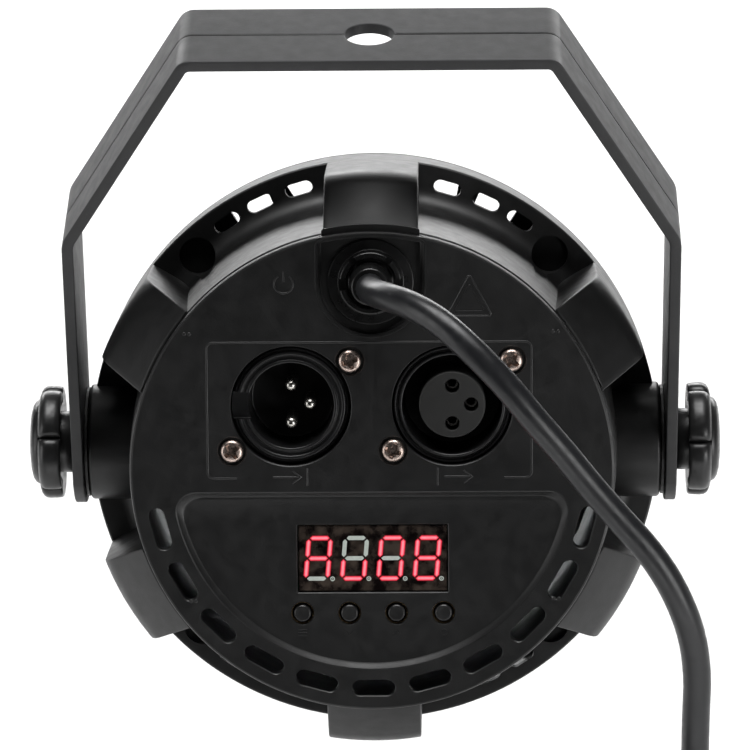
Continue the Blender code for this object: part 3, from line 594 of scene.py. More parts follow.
def smooth_line(points, step):
    """Even points along a centripetal curve through the given places."""
    places = [2 * points[0] - points[1], *points, 2 * points[-1] - points[-2]]
    fine = []
    for i in range(1, len(places) - 2):
        p0, p1, p2, p3 = places[i - 1:i + 3]
        t1 = (p1 - p0).length ** 0.5
        t2 = t1 + (p2 - p1).length ** 0.5
        t3 = t2 + (p3 - p2).length ** 0.5
        for k in range(12):
            t = t1 + (t2 - t1) * k / 12.0
            a1 = p0 * ((t1 - t) / t1) + p1 * (t / t1)
            a2 = p1 * ((t2 - t) / (t2 - t1)) + p2 * ((t - t1) / (t2 - t1))
            a3 = p2 * ((t3 - t) / (t3 - t2)) + p3 * ((t - t2) / (t3 - t2))
            b1 = a1 * ((t2 - t) / t2) + a2 * (t / t2)
            b2 = a2 * ((t3 - t) / (t3 - t1)) + a3 * ((t - t1) / (t3 - t1))
            fine.append(b1 * ((t2 - t) / (t2 - t1)) + b2 * ((t - t1) / (t2 - t1)))
    fine.append(places[-2])
    total = sum((b - a).length for a, b in zip(fine, fine[1:]))
    count = round(total / step)
    even, walked, index = [fine[0]], 0.0, 0
    for k in range(1, count):
        target = total * k / count
        while walked + (fine[index + 1] - fine[index]).length < target:
            walked += (fine[index + 1] - fine[index]).length
            index += 1
        part = (target - walked) / (fine[index + 1] - fine[index]).length
        even.append(fine[index].lerp(fine[index + 1], part))
    return even + [fine[-1]], total


def make_lead():
    tail = [Vector((DROP_X, TAIL_Y, z)) for z in (COIL_Z - 8.0, COIL_Z - COIL_CLEAR, PLUG_TOP + 0.3)]
    line, length = smooth_line(lead_route() + coil_route() + tail, 2.5)
    curve = bpy.data.curves.new("mains_cord", "CURVE")
    curve.dimensions = "3D"
    curve.bevel_depth = CORD_D / 2.0 * MM
    curve.bevel_resolution = 6
    curve.use_fill_caps = True
    spline = curve.splines.new("POLY")
    spline.points.add(len(line) - 1)
    for place, point in zip(line, spline.points):
        point.co = (*(place * MM), 1.0)
    spline.use_smooth = True
    curve.materials.append(LOOKS["cord_black"])
    cord = linked("mains_cord", curve)
    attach(cord, "lamp")
    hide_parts("mains_lead", "mains_lead_coil", "mains_lead_tail")
    with_pieces = [make_plug(), make_tie(), *make_blades()]


def make_plug():
    """Moulded plug: ribbed neck, waisted grip and a flat-sided foot."""
    levels = [(2.9, 2.9, 2.0, 0.0), (3.7, 3.7, 2.0, -0.4)]
    for k in range(5):
        z = -1.6 - 2.3 * k
        size = 3.9 + 0.17 * k
        levels += [(size, size, 2.0, z), (size, size, 2.0, z - 1.2),
                   (size - 0.7, size - 0.7, 2.0, z - 1.4), (size - 0.7, size - 0.7, 2.0, z - 2.1)]
    levels += [(5.2, 5.0, 2.2, -13.4), (7.4, 6.2, 2.6, -15.0), (9.2, 7.3, 3.2, -17.4),
               (10.0, 8.1, 3.8, -20.5), (10.2, 8.3, 4.0, -24.0), (9.8, 8.1, 4.0, -28.0),
               (9.7, 8.0, 4.0, -31.0), (11.0, 9.0, 4.0, -32.6), (12.9, 10.7, 4.2, -34.0),
               (13.4, 11.2, 4.4, -34.8), (13.4, 11.2, 4.4, -37.5), (13.1, 10.9, 4.4, -38.0)]

    def draw(bm):
        rings = []
        for half_x, half_y, power, drop in levels:
            ring = []
            for k in range(56):
                angle = 2.0 * pi * k / 56
                c, s = cos(angle), sin(angle)
                ring.append((DROP_X + half_x * copysign(abs(c) ** (2.0 / power), c),
                             TAIL_Y + half_y * copysign(abs(s) ** (2.0 / power), s),
                             PLUG_TOP + drop))
            rings.append(ring)
        skin(bm, rings)
    return piece("plug_body", "rubber_black", draw, nodes=("mains_plug",), place=WORLD, sharp=50.0)


def make_blades():
    """Two flat blades with a hole each, and the round earth pin."""
    made = []
    for side in ("left", "right"):
        low, high = world_box(f"plug_blade_{side}")
        middle = (low.y + high.y) / 2.0
        outline = rounded([(low.y, high.z, 0.0), (low.y, low.z, 1.2), (high.y, low.z, 1.2),
                           (high.y, high.z, 0.0)], 5)
        blade = new_object(f"blade_{side}", lambda bm: prism(bm, outline, low.x, high.x, "X"), WORLD)
        hole = circle(1.55, 24, middle, low.z + 3.4)
        cut(blade, lambda bm: prism(bm, hole, low.x - 1.0, high.x + 1.0, "X"))
        made.append(dress(blade, "brass", nodes=(f"plug_blade_{side}",), edge=0.15))
    low, high = world_box("plug_earth_pin")
    x, y = (low.x + high.x) / 2.0, (low.y + high.y) / 2.0

    levels = ((0.0, 2.38), (15.6, 2.38), (16.6, 2.1), (17.4, 1.5), (17.85, 0.7))

    def pin(bm):
        skin(bm, [[(u, v, high.z - drop) for u, v in circle(r, 32, x, y)] for drop, r in levels])
    made.append(piece("earth_pin", "brass", pin, nodes=("plug_earth_pin",), place=WORLD))
    return made


def make_tie():
    """Strap round the turns, its ratchet head and the cut end of its tail."""
    low, high = world_box("cable_tie")

    def loop(inset, radius):
        return box_outline(low.x + inset, low.y + inset, high.x - inset, high.y - inset, radius, 8)
    tie = new_object("tie_strap", lambda bm: prism(bm, loop(0.0, 3.4), low.z, high.z, "Z"), WORLD)
    cut(tie, lambda bm: prism(bm, loop(1.15, 2.6), low.z - 1.0, high.z + 1.0, "Z"))
    middle = (low.y + high.y) / 2.0
    head = [(high.x - 0.8, middle - 3.4), (high.x + 3.2, middle - 3.0), (high.x + 3.2, middle + 3.0),
            (high.x - 0.8, middle + 3.4)]
    join(tie, lambda bm: prism(bm, head, low.z - 0.9, high.z + 0.9, "Z"), edge=0.5)
    tongue = [(high.x + 1.1, middle + 2.0), (high.x + 2.2, middle + 2.0), (high.x + 2.6, middle + 6.4),
              (high.x + 1.6, middle + 6.6)]
    join(tie, lambda bm: prism(bm, tongue, low.z + 0.3, high.z - 0.3, "Z"))
    return dress(tie, "tie_black", nodes=("cable_tie",), edge=0.18)


# ---- yoke
def make_yoke():
    """Bent strip with rounded edges, a parting line, round leg ends and its holes."""
    low, high = world_box("yoke")
    half, leg_x = high.y, high.x
    thick, top_x, bend_z = 2.35, 37.4, -40.7
    end_r, hang_r, pivot_r = 12.7, 4.9, 3.5
    pivot_z = PIVOT.z / MM
    corners = [(leg_x, low.z, 0.0), (leg_x, bend_z, 6.0), (top_x, 0.0, 3.6),
               (-top_x, 0.0, 3.6), (-leg_x, bend_z, 6.0), (-leg_x, low.z, 0.0)]

    def strip(bm):
        pairs = []
        for i, (x, z, radius) in enumerate(corners):
            here = Vector((x, z))
            if radius == 0.0:
                pairs.append(((x, z), (x - copysign(thick, x), z)))
                continue
            before = (Vector(corners[i - 1][:2]) - here).normalized()
            after = (Vector(corners[i + 1][:2]) - here).normalized()
            angle = before.angle(after) / 2.0
            centre = here + (before + after).normalized() * (radius / sin(angle))
            reach = radius / tan(angle)
            first, last = here + before * reach - centre, here + after * reach - centre
            for k in range(13):
                ray = first.lerp(last, k / 12.0).normalized()
                pairs.append((tuple(centre + ray * radius), tuple(centre + ray * (radius - thick))))
        section = [(-half, 0.0), (-0.22, 0.0), (0.0, 0.16), (0.22, 0.0), (half, 0.0),
                   (half, thick), (-half, thick)]
        rings = []
        for outer, inner in pairs:
            spots = [Vector(outer).lerp(Vector(inner), depth / thick) for y, depth in section]
            rings.append([(spot.x, y, spot.y) for spot, (y, depth) in zip(spots, section)])
        skin(bm, rings)
    yoke = new_object("yoke_bracket", strip, WORLD)

    spans = [sorted((side * (leg_x - 6.0), side * (leg_x + 3.0))) for side in (-1.0, 1.0)]

    def ends(bm):
        for near, far in spans:
            curve = arc(0.0, pivot_z, end_r, 195.0, 345.0, 48)
            corner = [(half + 3.0, curve[-1][1]), (half + 3.0, pivot_z - 20.0),
                      (-half - 3.0, pivot_z - 20.0), (-half - 3.0, curve[0][1])]
            prism(bm, curve + corner, near, far, "X")
    cut(yoke, ends)

    def holes(bm):
        prism(bm, circle(hang_r, 64), -thick - 3.0, 3.0, "Z")
        for near, far in spans:
            prism(bm, circle(pivot_r, 40, 0.0, pivot_z), near, far, "X")
    cut(yoke, holes)
    dress(yoke, "yoke_black", body="yoke", nodes=("yoke",), edge=0.3)


# ---- case
def mirrored_angles(offsets):
    """Angles at these offsets on both sides of the top and the bottom."""
    return [base + sign * value for base in (90.0, 270.0)
            for value in offsets for sign in (-1.0, 1.0)]


def draw_lug(bm, angle):
    """A block that follows the ring's curve outside and has flat flanks."""
    inner, root_r, shoulder_y, front = 48.2, 49.3, -25.06, -0.9
    side = rounded([(DRUM_REAR, inner, 0.0), (DRUM_REAR, root_r, 0.0), (shoulder_y, LUG_R, 11.0),
                    (front, LUG_R, 0.0), (front, inner, 0.0)], 8)
    rings = []
    for k in range(15):
        v = LUG_W * (k / 14.0 - 0.5)
        depths = [inner if radius == inner else sqrt(radius * radius - v * v) for y, radius in side]
        places = [spun(u, v, angle) for u in depths]
        rings.append([(x, y, z) for (x, z), (y, radius) in zip(places, side)])
    skin(bm, rings)


def make_housing():
    profile = rounded([(DRUM_BORE_R, DRUM_REAR, 0.2), (DRUM_REAR_R, DRUM_REAR, 0.45),
                       (49.9, -20.0, 0.0), (50.7, RING_REAR, 4.2), (RING_R, RING_REAR, 0.5),
                       (RING_R, RING_FRONT, 0.25), (DUCT_R, RING_FRONT, 0.2),
                       (DUCT_R, FLANGE_FRONT, 0.3), (BARREL_R, FLANGE_FRONT, 0.3),
                       (BARREL_R, RING_FRONT, 0.2), (BORE_R, RING_FRONT, 0.2),
                       (BORE_R, BORE_STEP, 0.0), (DRUM_BORE_R, BORE_STEP, 0.0)], 6)
    shell = new_object("housing_shell", lambda bm: turned(bm, profile, 216))
    join(shell, lambda bm: [draw_lug(bm, 90.0 + 60.0 * k) for k in range(6)], edge=0.3)

    def bosses(bm):
        bore_r, boss_r, root, face = 5.3, 12.0, 47.3, 59.25
        for side in (-1.0, 1.0):
            boss = rounded([(bore_r, side * root, 0.0), (boss_r, side * root, 0.0),
                            (boss_r, side * face, 0.7), (bore_r, side * face, 0.3)], 5)
            turned(bm, boss, 72, axis="X")
    join(shell, bosses)

    def openings(bm):
        for angle in mirrored_angles(SLOT_ANGLES):
            prism(bm, obround(SLOT_LENGTH, SLOT_WIDTH, angle, SLOT_R), RING_REAR - 3.0, 1.8)
        for angle in mirrored_angles((WELL_ANGLE,)):
            prism(bm, circle(WELL_BORE_R, 48, *polar(WELL_R, angle)), -24.0, 0.3)
    cut(shell, openings)
    dress(shell, "case_black", nodes=("housing",), sharp=28.0)


def make_bezel():
    bore_r = 46.8
    profile = rounded([(bore_r, BEZEL_REAR, 0.2), (RING_R, BEZEL_REAR, 0.2),
                       (RING_R, BEZEL_FRONT, 0.9), (bore_r, BEZEL_FRONT, 0.9)], 5)
    bezel = new_object("bezel_ring", lambda bm: turned(bm, profile, 216))

    def windows(bm):
        for base in (90.0, 270.0):
            for sign in (-1.0, 1.0):
                for first, last in ((5.0, 20.0), (23.5, 32.6)):
                    start, end = base + sign * first, base + sign * last
                    shape = arc(0, 0, 57.3, start, end, 16) + arc(0, 0, 51.9, end, start, 16)
                    prism(bm, shape, BEZEL_REAR - 2.0, BEZEL_FRONT + 2.0)
    cut(bezel, windows)
    dress(bezel, "case_black", nodes=("front_bezel",), edge=0.15)


# ---- rear panel
def d_outline(radius, top, corner):
    """Circle cut off by a flat top edge, its two corners rounded."""
    reach = sqrt((radius - corner) ** 2 - (top - corner) ** 2)
    angle = degrees(atan2(top - corner, reach))
    right = arc(reach, top - corner, corner, angle, 90.0, 10)
    left = arc(-reach, top - corner, corner, 90.0, 180.0 - angle, 10)
    bottom = arc(0.0, 0.0, radius, 180.0 - angle, 360.0 + angle, 90)
    return right + left + bottom[1:-1]


def screw_places():
    return [lamp_centre(f"xlr_screw_{i}") for i in range(1, 5)]


def make_panel():
    profile = [(0.0, PANEL_Y), (PANEL_R - 0.5, PANEL_Y), (PANEL_R - 0.15, PANEL_Y + 0.15),
               (PANEL_R, PANEL_Y + 0.5), (PANEL_R, PANEL_BACK), (0.0, PANEL_BACK)]
    panel = new_object("panel_plate", lambda bm: turned(bm, profile, 216))
    tab = arc(0.0, 0.0, 49.9, 78.6, 101.4, 12) + [(-9.6, 45.0), (9.6, 45.0)]
    join(panel, lambda bm: prism(bm, tab, PANEL_Y + 0.9, PANEL_BACK - 0.1), edge=0.4)
    recess = ((PANEL_Y - 1.0, 0.0), (PANEL_Y + 0.02, 0.0), (PANEL_Y + 0.12, 0.25),
              (RECESS_FLOOR - 0.2, 0.95), (RECESS_FLOOR, 1.3))
    cut(panel, lambda bm: stack(bm, recess, lambda inset: d_outline(RECESS_R - inset,
                                                                   RECESS_TOP - inset, 4.0)))
    pocket = ((PANEL_Y - 2.0, -0.25), (PANEL_Y - 0.01, -0.25), (PANEL_Y + 0.25, 0.0),
              (POCKET_FLOOR - 0.3, 0.15), (POCKET_FLOOR, 0.5))
    dish = ((PANEL_Y - 2.0, 3.05), (PANEL_Y, 3.05), (PANEL_Y + 0.2, 2.85), (PANEL_Y + 0.7, 2.8))

    def pocket_outline(inset):
        r, beyond = POCKET_R - inset, 56.0
        return arc(0.0, POCKET_Z, r, 180.0, 360.0, 48) + [(r, beyond), (-r, beyond)]

    def hollows(bm):
        stack(bm, pocket, pocket_outline)
        for place in screw_places():
            stack(bm, dish, lambda r: circle(r, 40, place.x, place.z))
    cut(panel, hollows)
    wall = arc(0.0, 0.0, 48.6, 77.0, 103.0, 16) + arc(0.0, 0.0, 47.5, 103.0, 77.0, 16)
    join(panel, lambda bm: prism(bm, wall, PANEL_Y + 0.02, PANEL_BACK - 0.4), edge=0.12)

    def openings(bm):
        low, high = PANEL_Y - 2.0, PANEL_BACK + 2.0
        socket_r, shank_r, button_r, gland_r = 12.15, 1.75, 2.3, 6.4
        vent_count, vent_step, vent_r, vent_length, vent_width = 11, 15.0, 44.2, 8.7, 3.2

        def flared(shape_at, face):
            """A hole through the panel, its outer edge broken at the face."""
            stack(bm, ((low, 0.18), (face, 0.18), (face + 0.18, 0.0), (high, 0.0)), shape_at)
        for shell in (XLR_MALE, XLR_FEMALE):
            flared(lambda grow: circle(socket_r + grow, 96, shell.x, shell.z), PANEL_Y)
        for place in screw_places():
            prism(bm, circle(shank_r, 24, place.x, place.z), PANEL_Y + 0.3, high)
        for index in range(vent_count):
            flared(lambda grow: obround(vent_length + 2.0 * grow, vent_width + 2.0 * grow,
                                        195.0 + vent_step * index, vent_r), PANEL_Y)
        for index in range(4):
            button = lamp_centre(f"button_{index + 1}")
            flared(lambda grow: circle(button_r + grow, 40, button.x, button.z), RECESS_FLOOR)
        half_w, half_h = 15.2, 6.95
        flared(lambda grow: box_outline(-half_w - grow, DISPLAY.z - half_h - grow,
                                        half_w + grow, DISPLAY.z + half_h + grow, 0.3), RECESS_FLOOR)
        flared(lambda grow: circle(gland_r + grow, 64, 0.0, POCKET_Z), POCKET_FLOOR)
    cut(panel, openings)
    dress(panel, "case_black", nodes=("rear_panel",), sharp=22.0)


def make_marks():
    """Raised lines and plain symbols on the panel, and small moulding pips."""
    top, base = PANEL_Y - 0.11, PANEL_Y + 0.03

    def draw(bm):
        left, right, upper, lower = -33.0, 32.1, 26.4, -1.15
        frame_line = ([(-27.2, lower)] + arc(left + 1.2, lower + 1.2, 1.2, 270, 180, 5)
                      + arc(left + 1.2, upper - 1.2, 1.2, 180, 90, 5)
                      + arc(right - 1.2, upper - 1.2, 1.2, 90, 0, 5)
                      + arc(right - 1.2, lower + 1.2, 1.2, 0, -90, 5) + [(26.6, lower)])
        ridge(bm, frame_line, 0.5, top, base)
        triangle = rounded([(15.0, 31.6, 0.5), (24.3, 31.6, 0.5), (19.7, 40.2, 0.5)], 3)
        ridge(bm, triangle, 0.45, top, base, closed=True)
        inner = rounded([(16.6, 32.6, 0.3), (22.7, 32.6, 0.3), (19.7, 38.2, 0.3)], 3)
        ridge(bm, inner, 0.25, top + 0.03, base, closed=True)
        symbol_x, symbol_z = -17.4, 38.2
        ridge(bm, arc(symbol_x, symbol_z, 1.9, 125.0, 415.0, 28), 0.45, top, base)
        ridge(bm, [(symbol_x, symbol_z + 0.4), (symbol_x, symbol_z + 2.5)], 0.45, top, base)
        arrow(bm, XLR_MALE.x - 1.0, -0.9, 4.2, top, base)
        arrow(bm, XLR_FEMALE.x + 1.0, -0.9, -4.0, top, base)
        pocket_r = POCKET_R + 0.55
        rim = (arc(0.0, POCKET_Z, pocket_r, 180.0, 360.0, 40)
               + arc(pocket_r - 1.4, 45.6, 1.4, 0.0, 72.0, 6)
               + arc(0.0, 0.0, 48.25, 78.6, 101.4, 14)
               + arc(1.4 - pocket_r, 45.6, 1.4, 108.0, 180.0, 6))
        ridge(bm, rim, 0.5, PANEL_Y - 0.16, PANEL_Y + 0.05, closed=True)
        pip = ((PANEL_Y + 0.05, 0.42), (PANEL_Y - 0.05, 0.36), (PANEL_Y - 0.13, 0.2))
        for x, z in ((-36.9, 28.2), (36.9, 28.4), (-36.2, -26.2), (37.0, -26.0)):
            for shift in (-0.5, 0.5):
                stack(bm, pip, lambda r: circle(r, 14, x + shift, z))
    piece("panel_marks", "case_black", draw, sharp=50.0)


def arrow(bm, x, z, wall, top, base):
    """An arrow to the right, with a short wall before or after it: signal out or in."""
    ridge(bm, [(x - 2.7, z), (x + 2.7, z)], 0.45, top, base)
    ridge(bm, [(x + 1.2, z + 1.3), (x + 2.9, z), (x + 1.2, z - 1.3)], 0.45, top, base)
    ridge(bm, [(x + wall, z - 1.8), (x + wall, z + 1.8)], 0.45, top, base)


def make_key_marks():
    """A plain symbol under each button: bars, down, up and a ring."""
    top, base = RECESS_FLOOR - 0.08, RECESS_FLOOR + 0.03

    def draw(bm):
        xs = [lamp_centre(f"button_{index}").x for index in range(1, 5)]
        z = lamp_centre("button_1").z - 4.0
        for shift in (-0.6, 0.0, 0.6):
            ridge(bm, [(xs[0] - 0.9, z + shift), (xs[0] + 0.9, z + shift)], 0.24, top, base)
        ridge(bm, [(xs[1] - 0.8, z + 0.4), (xs[1], z - 0.45), (xs[1] + 0.8, z + 0.4)], 0.28, top, base)
        ridge(bm, [(xs[2] - 0.8, z - 0.4), (xs[2], z + 0.45), (xs[2] + 0.8, z - 0.4)], 0.28, top, base)
        ridge(bm, circle(0.62, 18, xs[3], z), 0.26, top, base, closed=True)
    piece("key_marks", "case_black", draw, sharp=50.0)


# ---- sockets
def make_sockets():
    rim, floor, back = PANEL_Y + 0.9, -26.5, -24.9
    male = rounded([(11.95, rim + 1.6, 0.0), (11.5, rim + 0.9, 0.2), (11.1, rim + 0.9, 0.15),
                    (10.95, rim, 0.3), (10.25, rim, 0.3), (10.1, rim + 0.55, 0.15),
                    (9.45, rim + 0.55, 0.15), (9.3, rim + 0.05, 0.28), (8.65, rim + 0.05, 0.28),
                    (8.5, floor, 0.4), (0.0, floor, 0.0), (0.0, back, 0.0),
                    (9.6, back, 0.0), (11.95, -30.0, 0.0)], 5)
    shell = new_object("socket_male", lambda bm: turned(bm, male, 144, (XLR_MALE.x, XLR_MALE.z)))

    notch = box_outline(XLR_MALE.x - 12.4, XLR_MALE.z - 2.75, XLR_MALE.x - 8.0, XLR_MALE.z + 2.75)
    cut(shell, lambda bm: prism(bm, notch, rim - 1.0, rim + 2.2), edge=0.15)
    dress(shell, "connector_black", nodes=("xlr_male_shell",), sharp=30.0)

    def contacts(bm):
        turned(bm, [(0.0, back + 0.3), (6.4, back + 0.3), (6.4, back + 2.2), (0.0, back + 2.2)],
               48, (XLR_MALE.x, XLR_MALE.z))
        for dx, dz in PINS:
            tip = rim + 1.6
            dome = [(1.2 * sin(a), tip + 1.2 * (1.0 - cos(a)))
                    for a in [pi / 2.0 * k / 8.0 for k in range(9)]]
            turned(bm, [*dome, (1.2, back + 1.0), (0.0, back + 1.0)], 32,
                   (XLR_MALE.x + dx, XLR_MALE.z + dz))
    piece("socket_male_pins", "silver_contact", contacts, nodes=("xlr_male_contacts",))

    female = rounded([(11.95, rim + 1.6, 0.0), (11.7, rim + 0.5, 0.2), (11.3, rim + 0.5, 0.15),
                      (11.2, rim + 0.9, 0.12), (10.8, rim + 0.9, 0.12), (10.65, rim, 0.3),
                      (10.05, rim, 0.3), (9.9, floor, 0.4), (0.0, floor, 0.0),
                      (0.0, back, 0.0), (9.6, back, 0.0), (11.95, -30.0, 0.0)], 4)
    centre = (XLR_FEMALE.x, XLR_FEMALE.z)
    piece("socket_female", "connector_black", lambda bm: turned(bm, female, 144, centre),
          nodes=("xlr_female_shell",), sharp=30.0)
    insert = rounded([(0.0, rim + 0.2, 0.0), (6.7, rim + 0.2, 0.35), (6.7, floor - 0.3, 0.0),
                      (0.0, floor - 0.3, 0.0)], 5)
    core = new_object("socket_female_core", lambda bm: turned(bm, insert, 96, centre))

    bore = ((rim - 2.0, 1.55), (rim + 0.2, 1.55), (rim + 0.4, 1.42), (floor - 4.0, 1.35))

    def sockets(bm):
        for dx, dz in PINS:
            stack(bm, bore, lambda r: circle(r, 32, centre[0] + dx, centre[1] + dz))
    cut(core, sockets)
    dress(core, "connector_black", nodes=("xlr_female_insert",), sharp=30.0)
    core.data.materials[0] = INSERT_GREY

    def contact_tubes(bm):
        for dx, dz in PINS:
            tube = [(0.85, rim + 5.0), (1.2, rim + 4.9), (1.2, floor - 4.2), (0.85, floor - 4.2)]
            turned(bm, tube, 24, (centre[0] + dx, centre[1] + dz))
    piece("socket_female_contacts", "silver_contact", contact_tubes)


def draw_screw(bm, x, z, face, head_r, shank_r, length):
    """Domed pan head with a rounded rim and a plain shank."""
    dome = [(head_r * k / 10.0, face + 0.42 * (k / 10.0) ** 2.6) for k in range(9)]
    rim = [(head_r * 0.93, face + 0.46), (head_r, face + 0.78), (head_r, face + 1.25),
           (shank_r, face + 1.3), (shank_r, face + length), (0.0, face + length)]
    turned(bm, dome + rim, 56, (x, z))


def make_screws():
    jobs = [(f"xlr_screw_{i}", 2.3, 1.4, 3.6, 18.0 * i) for i in range(1, 5)]
    jobs += [(f"case_screw_{i}", 3.0, 1.5, 8.3, 25.0 * i) for i in range(1, 5)]
    for node, head_r, shank_r, length, turn in jobs:
        place = lamp_centre(node)
        face = lamp_box(node)[0].y
        screw = new_object(f"pan_{node}", lambda bm: draw_screw(bm, place.x, place.z, face, head_r,
                                                               shank_r, length))

        def cross(share):
            arm, thick, heart = head_r * 0.74 * share, head_r * 0.15 * share, head_r * 0.27 * share
            return [spun(u, v, turn + 90.0 * k, place.x, place.z) for k in range(4)
                    for u, v in ((arm, -thick), (arm, thick), (heart, heart))]
        recess = ((face - 1.0, 1.0), (face + 0.15, 1.0), (face + 1.2, 0.72))
        cut(screw, lambda bm: stack(bm, recess, cross))
        dress(screw, "nickel", nodes=(node,), sharp=30.0)


# ---- display and buttons
SEGMENT_NAMES = "abcdefg"
SHOWN = ("abcefg", "cde", "abcdef", "abcdefg")
DIGIT_PITCH = 7.33
DIGIT_SLANT = 5.0
DOT_X, DOT_Z = 2.85, -4.2
BUTTON_FLANGE_Y = -37.3


def segment_outline(name, grow):
    """One bar of a digit about its centre, mitred where it meets the next."""
    half_w, half_h, thick, gap = 2.2, 4.15, 0.84, 0.27

    def bar(length, width):
        tip = width / 2.0
        return [(-length + gap - grow, 0.0), (-length + gap + tip - grow * 0.4, tip + grow),
                (length - gap - tip + grow * 0.4, tip + grow), (length - gap + grow, 0.0),
                (length - gap - tip + grow * 0.4, -tip - grow),
                (-length + gap + tip - grow * 0.4, -tip - grow)]
    flat = {"a": half_h, "g": 0.0, "d": -half_h}
    if name in flat:
        return [(u, v + flat[name]) for u, v in bar(half_w, thick)]
    x = half_w if name in "bc" else -half_w
    z = half_h / 2.0 if name in "bf" else -half_h / 2.0
    return [(x + v, z + u) for u, v in bar(half_h / 2.0, thick)]


def make_display():
    low, high = lamp_box("display_module")
    face = low.y

    def module(bm):
        stack(bm, ((high.y, 0.0), (face + 0.25, 0.0), (face, 0.25)),
              lambda inset: box_outline(low.x + inset, low.z + inset,
                                        high.x - inset, high.z - inset, 0.25))
    piece("display_body", "display_film", module, nodes=("display_module",), sharp=30.0)
    slant = tan(radians(DIGIT_SLANT))

    def bars(bm, wanted, grow, top, base):
        for digit, lit in enumerate(SHOWN):
            x0 = DISPLAY.x + DIGIT_PITCH * (digit - 1.5)
            for name in SEGMENT_NAMES:
                if (name in lit) != wanted:
                    continue
                shape = [(x0 + u + v * slant, v + DISPLAY.z) for u, v in segment_outline(name, grow)]
                prism(bm, shape, top, base)
            if not wanted:
                dot = (x0 + DOT_X, DISPLAY.z + DOT_Z)
                turned(bm, [(0.28, top + 0.02), (0.28, top), (0.48, top), (0.48, base), (0.28, base)],
                       20, dot)
                prism(bm, circle(0.14, 10, *dot), top, base)
    # The unlit digits carry a painted glow in place of the light their diffuser gives back.
    for name, look, wanted, grow, lift in (("digits_glow", HALO, True, 0.13, 0.015),
                                           ("digits_lit", LIT, True, 0.0, 0.03),
                                           ("digits_core", CORE, True, -0.20, 0.045),
                                           ("digits_unlit", UNLIT_PAINTED_GLOW, False, 0.0, 0.03)):
        obj = piece(name, "display_film",
                    lambda bm: bars(bm, wanted, grow, face - lift, face + 0.05))
        obj.data.materials[0] = look

    for index in range(1, 5):
        node = f"button_{index}"
        place = lamp_centre(node)
        rear, front = lamp_box(node)[0].y, lamp_box(node)[1].y
        cap = rounded([(0.0, rear + 0.12, 0.0), (0.9, rear + 0.08, 0.3), (1.45, rear, 0.25),
                       (1.7, rear + 0.25, 0.15), (1.7, BUTTON_FLANGE_Y, 0.0),
                       (2.6, BUTTON_FLANGE_Y, 0.0), (2.6, front, 0.0), (0.0, front, 0.0)], 4)
        collar = rounded([(1.85, RECESS_FLOOR + 1.7, 0.08), (2.25, RECESS_FLOOR + 0.2, 0.05),
                          (2.25, RECESS_FLOOR + 2.0, 0.0), (1.85, RECESS_FLOOR + 2.0, 0.0)], 3)
        piece(f"switch_collar_{index}", "brass",
              lambda bm: turned(bm, collar, 40, (place.x, place.z)))
        piece(f"cap_{index}", "gloss_black",
              lambda bm: turned(bm, cap, 48, (place.x, place.z)), body=node, nodes=(node,))


# ---- gland and pivots
def make_gland():
    """Split bush in the pocket: thin collar, slotted barrel, sunken mouth and a short boot."""
    face = POCKET_FLOOR - 0.3
    low, high = lamp_box("strain_relief")
    profile = rounded([(0.0, high.y, 0.0), (4.6, high.y, 0.3), (6.1, high.y - 0.8, 0.3),
                       (6.1, face, 0.0), (8.7, face, 0.1), (8.6, face - 0.5, 0.25),
                       (6.5, face - 0.6, 0.2), (6.3, face - 3.2, 0.45), (5.1, face - 3.2, 0.3),
                       (4.9, face - 1.2, 0.2), (4.3, face - 1.3, 0.2), (4.1, -44.6, 0.3),
                       (3.75, low.y, 0.5), (0.0, low.y, 0.0)], 5)
    bush = new_object("gland_bush", lambda bm: turned(bm, profile, 120, (0.0, POCKET_Z)))

    def slots(bm):
        for angle, width in ((52.0, 1.3), (128.0, 1.3), (182.0, 2.4), (358.0, 2.4)):
            shape = [spun(u, v * width, angle, 0.0, POCKET_Z)
                     for u, v in ((4.6, -0.5), (7.2, -0.5), (7.2, 0.5), (4.6, 0.5))]
            prism(bm, shape, face - 4.5, face - 1.4)
    cut(bush, slots)
    dress(bush, "rubber_black", nodes=("strain_relief",), sharp=30.0)
    # The bush's dark colour is partly painted shade for the pocket it sits deep in.
    bush.data.materials[0] = GLAND_PAINTED_SHADE


def make_knobs():
    """Hand knobs skinned in one piece: collar, broad lobes with a hollow back, domed cap."""
    levels = [(62.9, 5.6, 0.0), (62.9, 6.1, 0.0), (63.2, 6.4, 0.0), (65.6, 6.4, 0.0),
              (65.7, 7.2, 0.1), (65.45, 9.0, 0.5), (65.15, 10.9, 1.0), (65.2, 11.45, 1.0),
              (65.5, 11.7, 1.0), (66.5, 11.8, 1.0), (67.8, 11.85, 1.0), (68.6, 11.75, 1.0),
              (69.2, 11.4, 1.0), (69.6, 10.8, 0.95), (69.85, 10.0, 0.75), (69.95, 9.2, 0.3),
              (69.95, 8.85, 0.0), (70.25, 8.75, 0.0), (70.8, 8.45, 0.0), (71.3, 7.7, 0.0),
              (71.65, 6.4, 0.0), (71.85, 4.6, 0.0), (71.96, 2.4, 0.0), (72.0, 0.6, 0.0)]
    count, lobe_count, groove_depth, swell = 240, 5, 1.9, 0.35
    for side, label, turn in ((-1.0, "left", -13.4), (1.0, "right", -5.0)):
        def draw(bm):
            rings = []
            for x, radius, lobes in levels:
                ring = []
                for k in range(count):
                    angle = 2.0 * pi * k / count
                    dip = 1.0 - abs(cos(angle * lobe_count / 2.0))
                    groove = 1.0 - sqrt(1.0 - dip ** 4)
                    r = radius - lobes * (groove_depth * groove + swell * dip)
                    y, z = polar(r, degrees(angle) + turn)
                    ring.append((side * x, y, z))
                rings.append(ring)
            skin(bm, rings)
        piece(f"hand_knob_{label}", "gloss_black", draw, body=f"knob_{label}",
              nodes=(f"knob_{label}",), sharp=50.0)


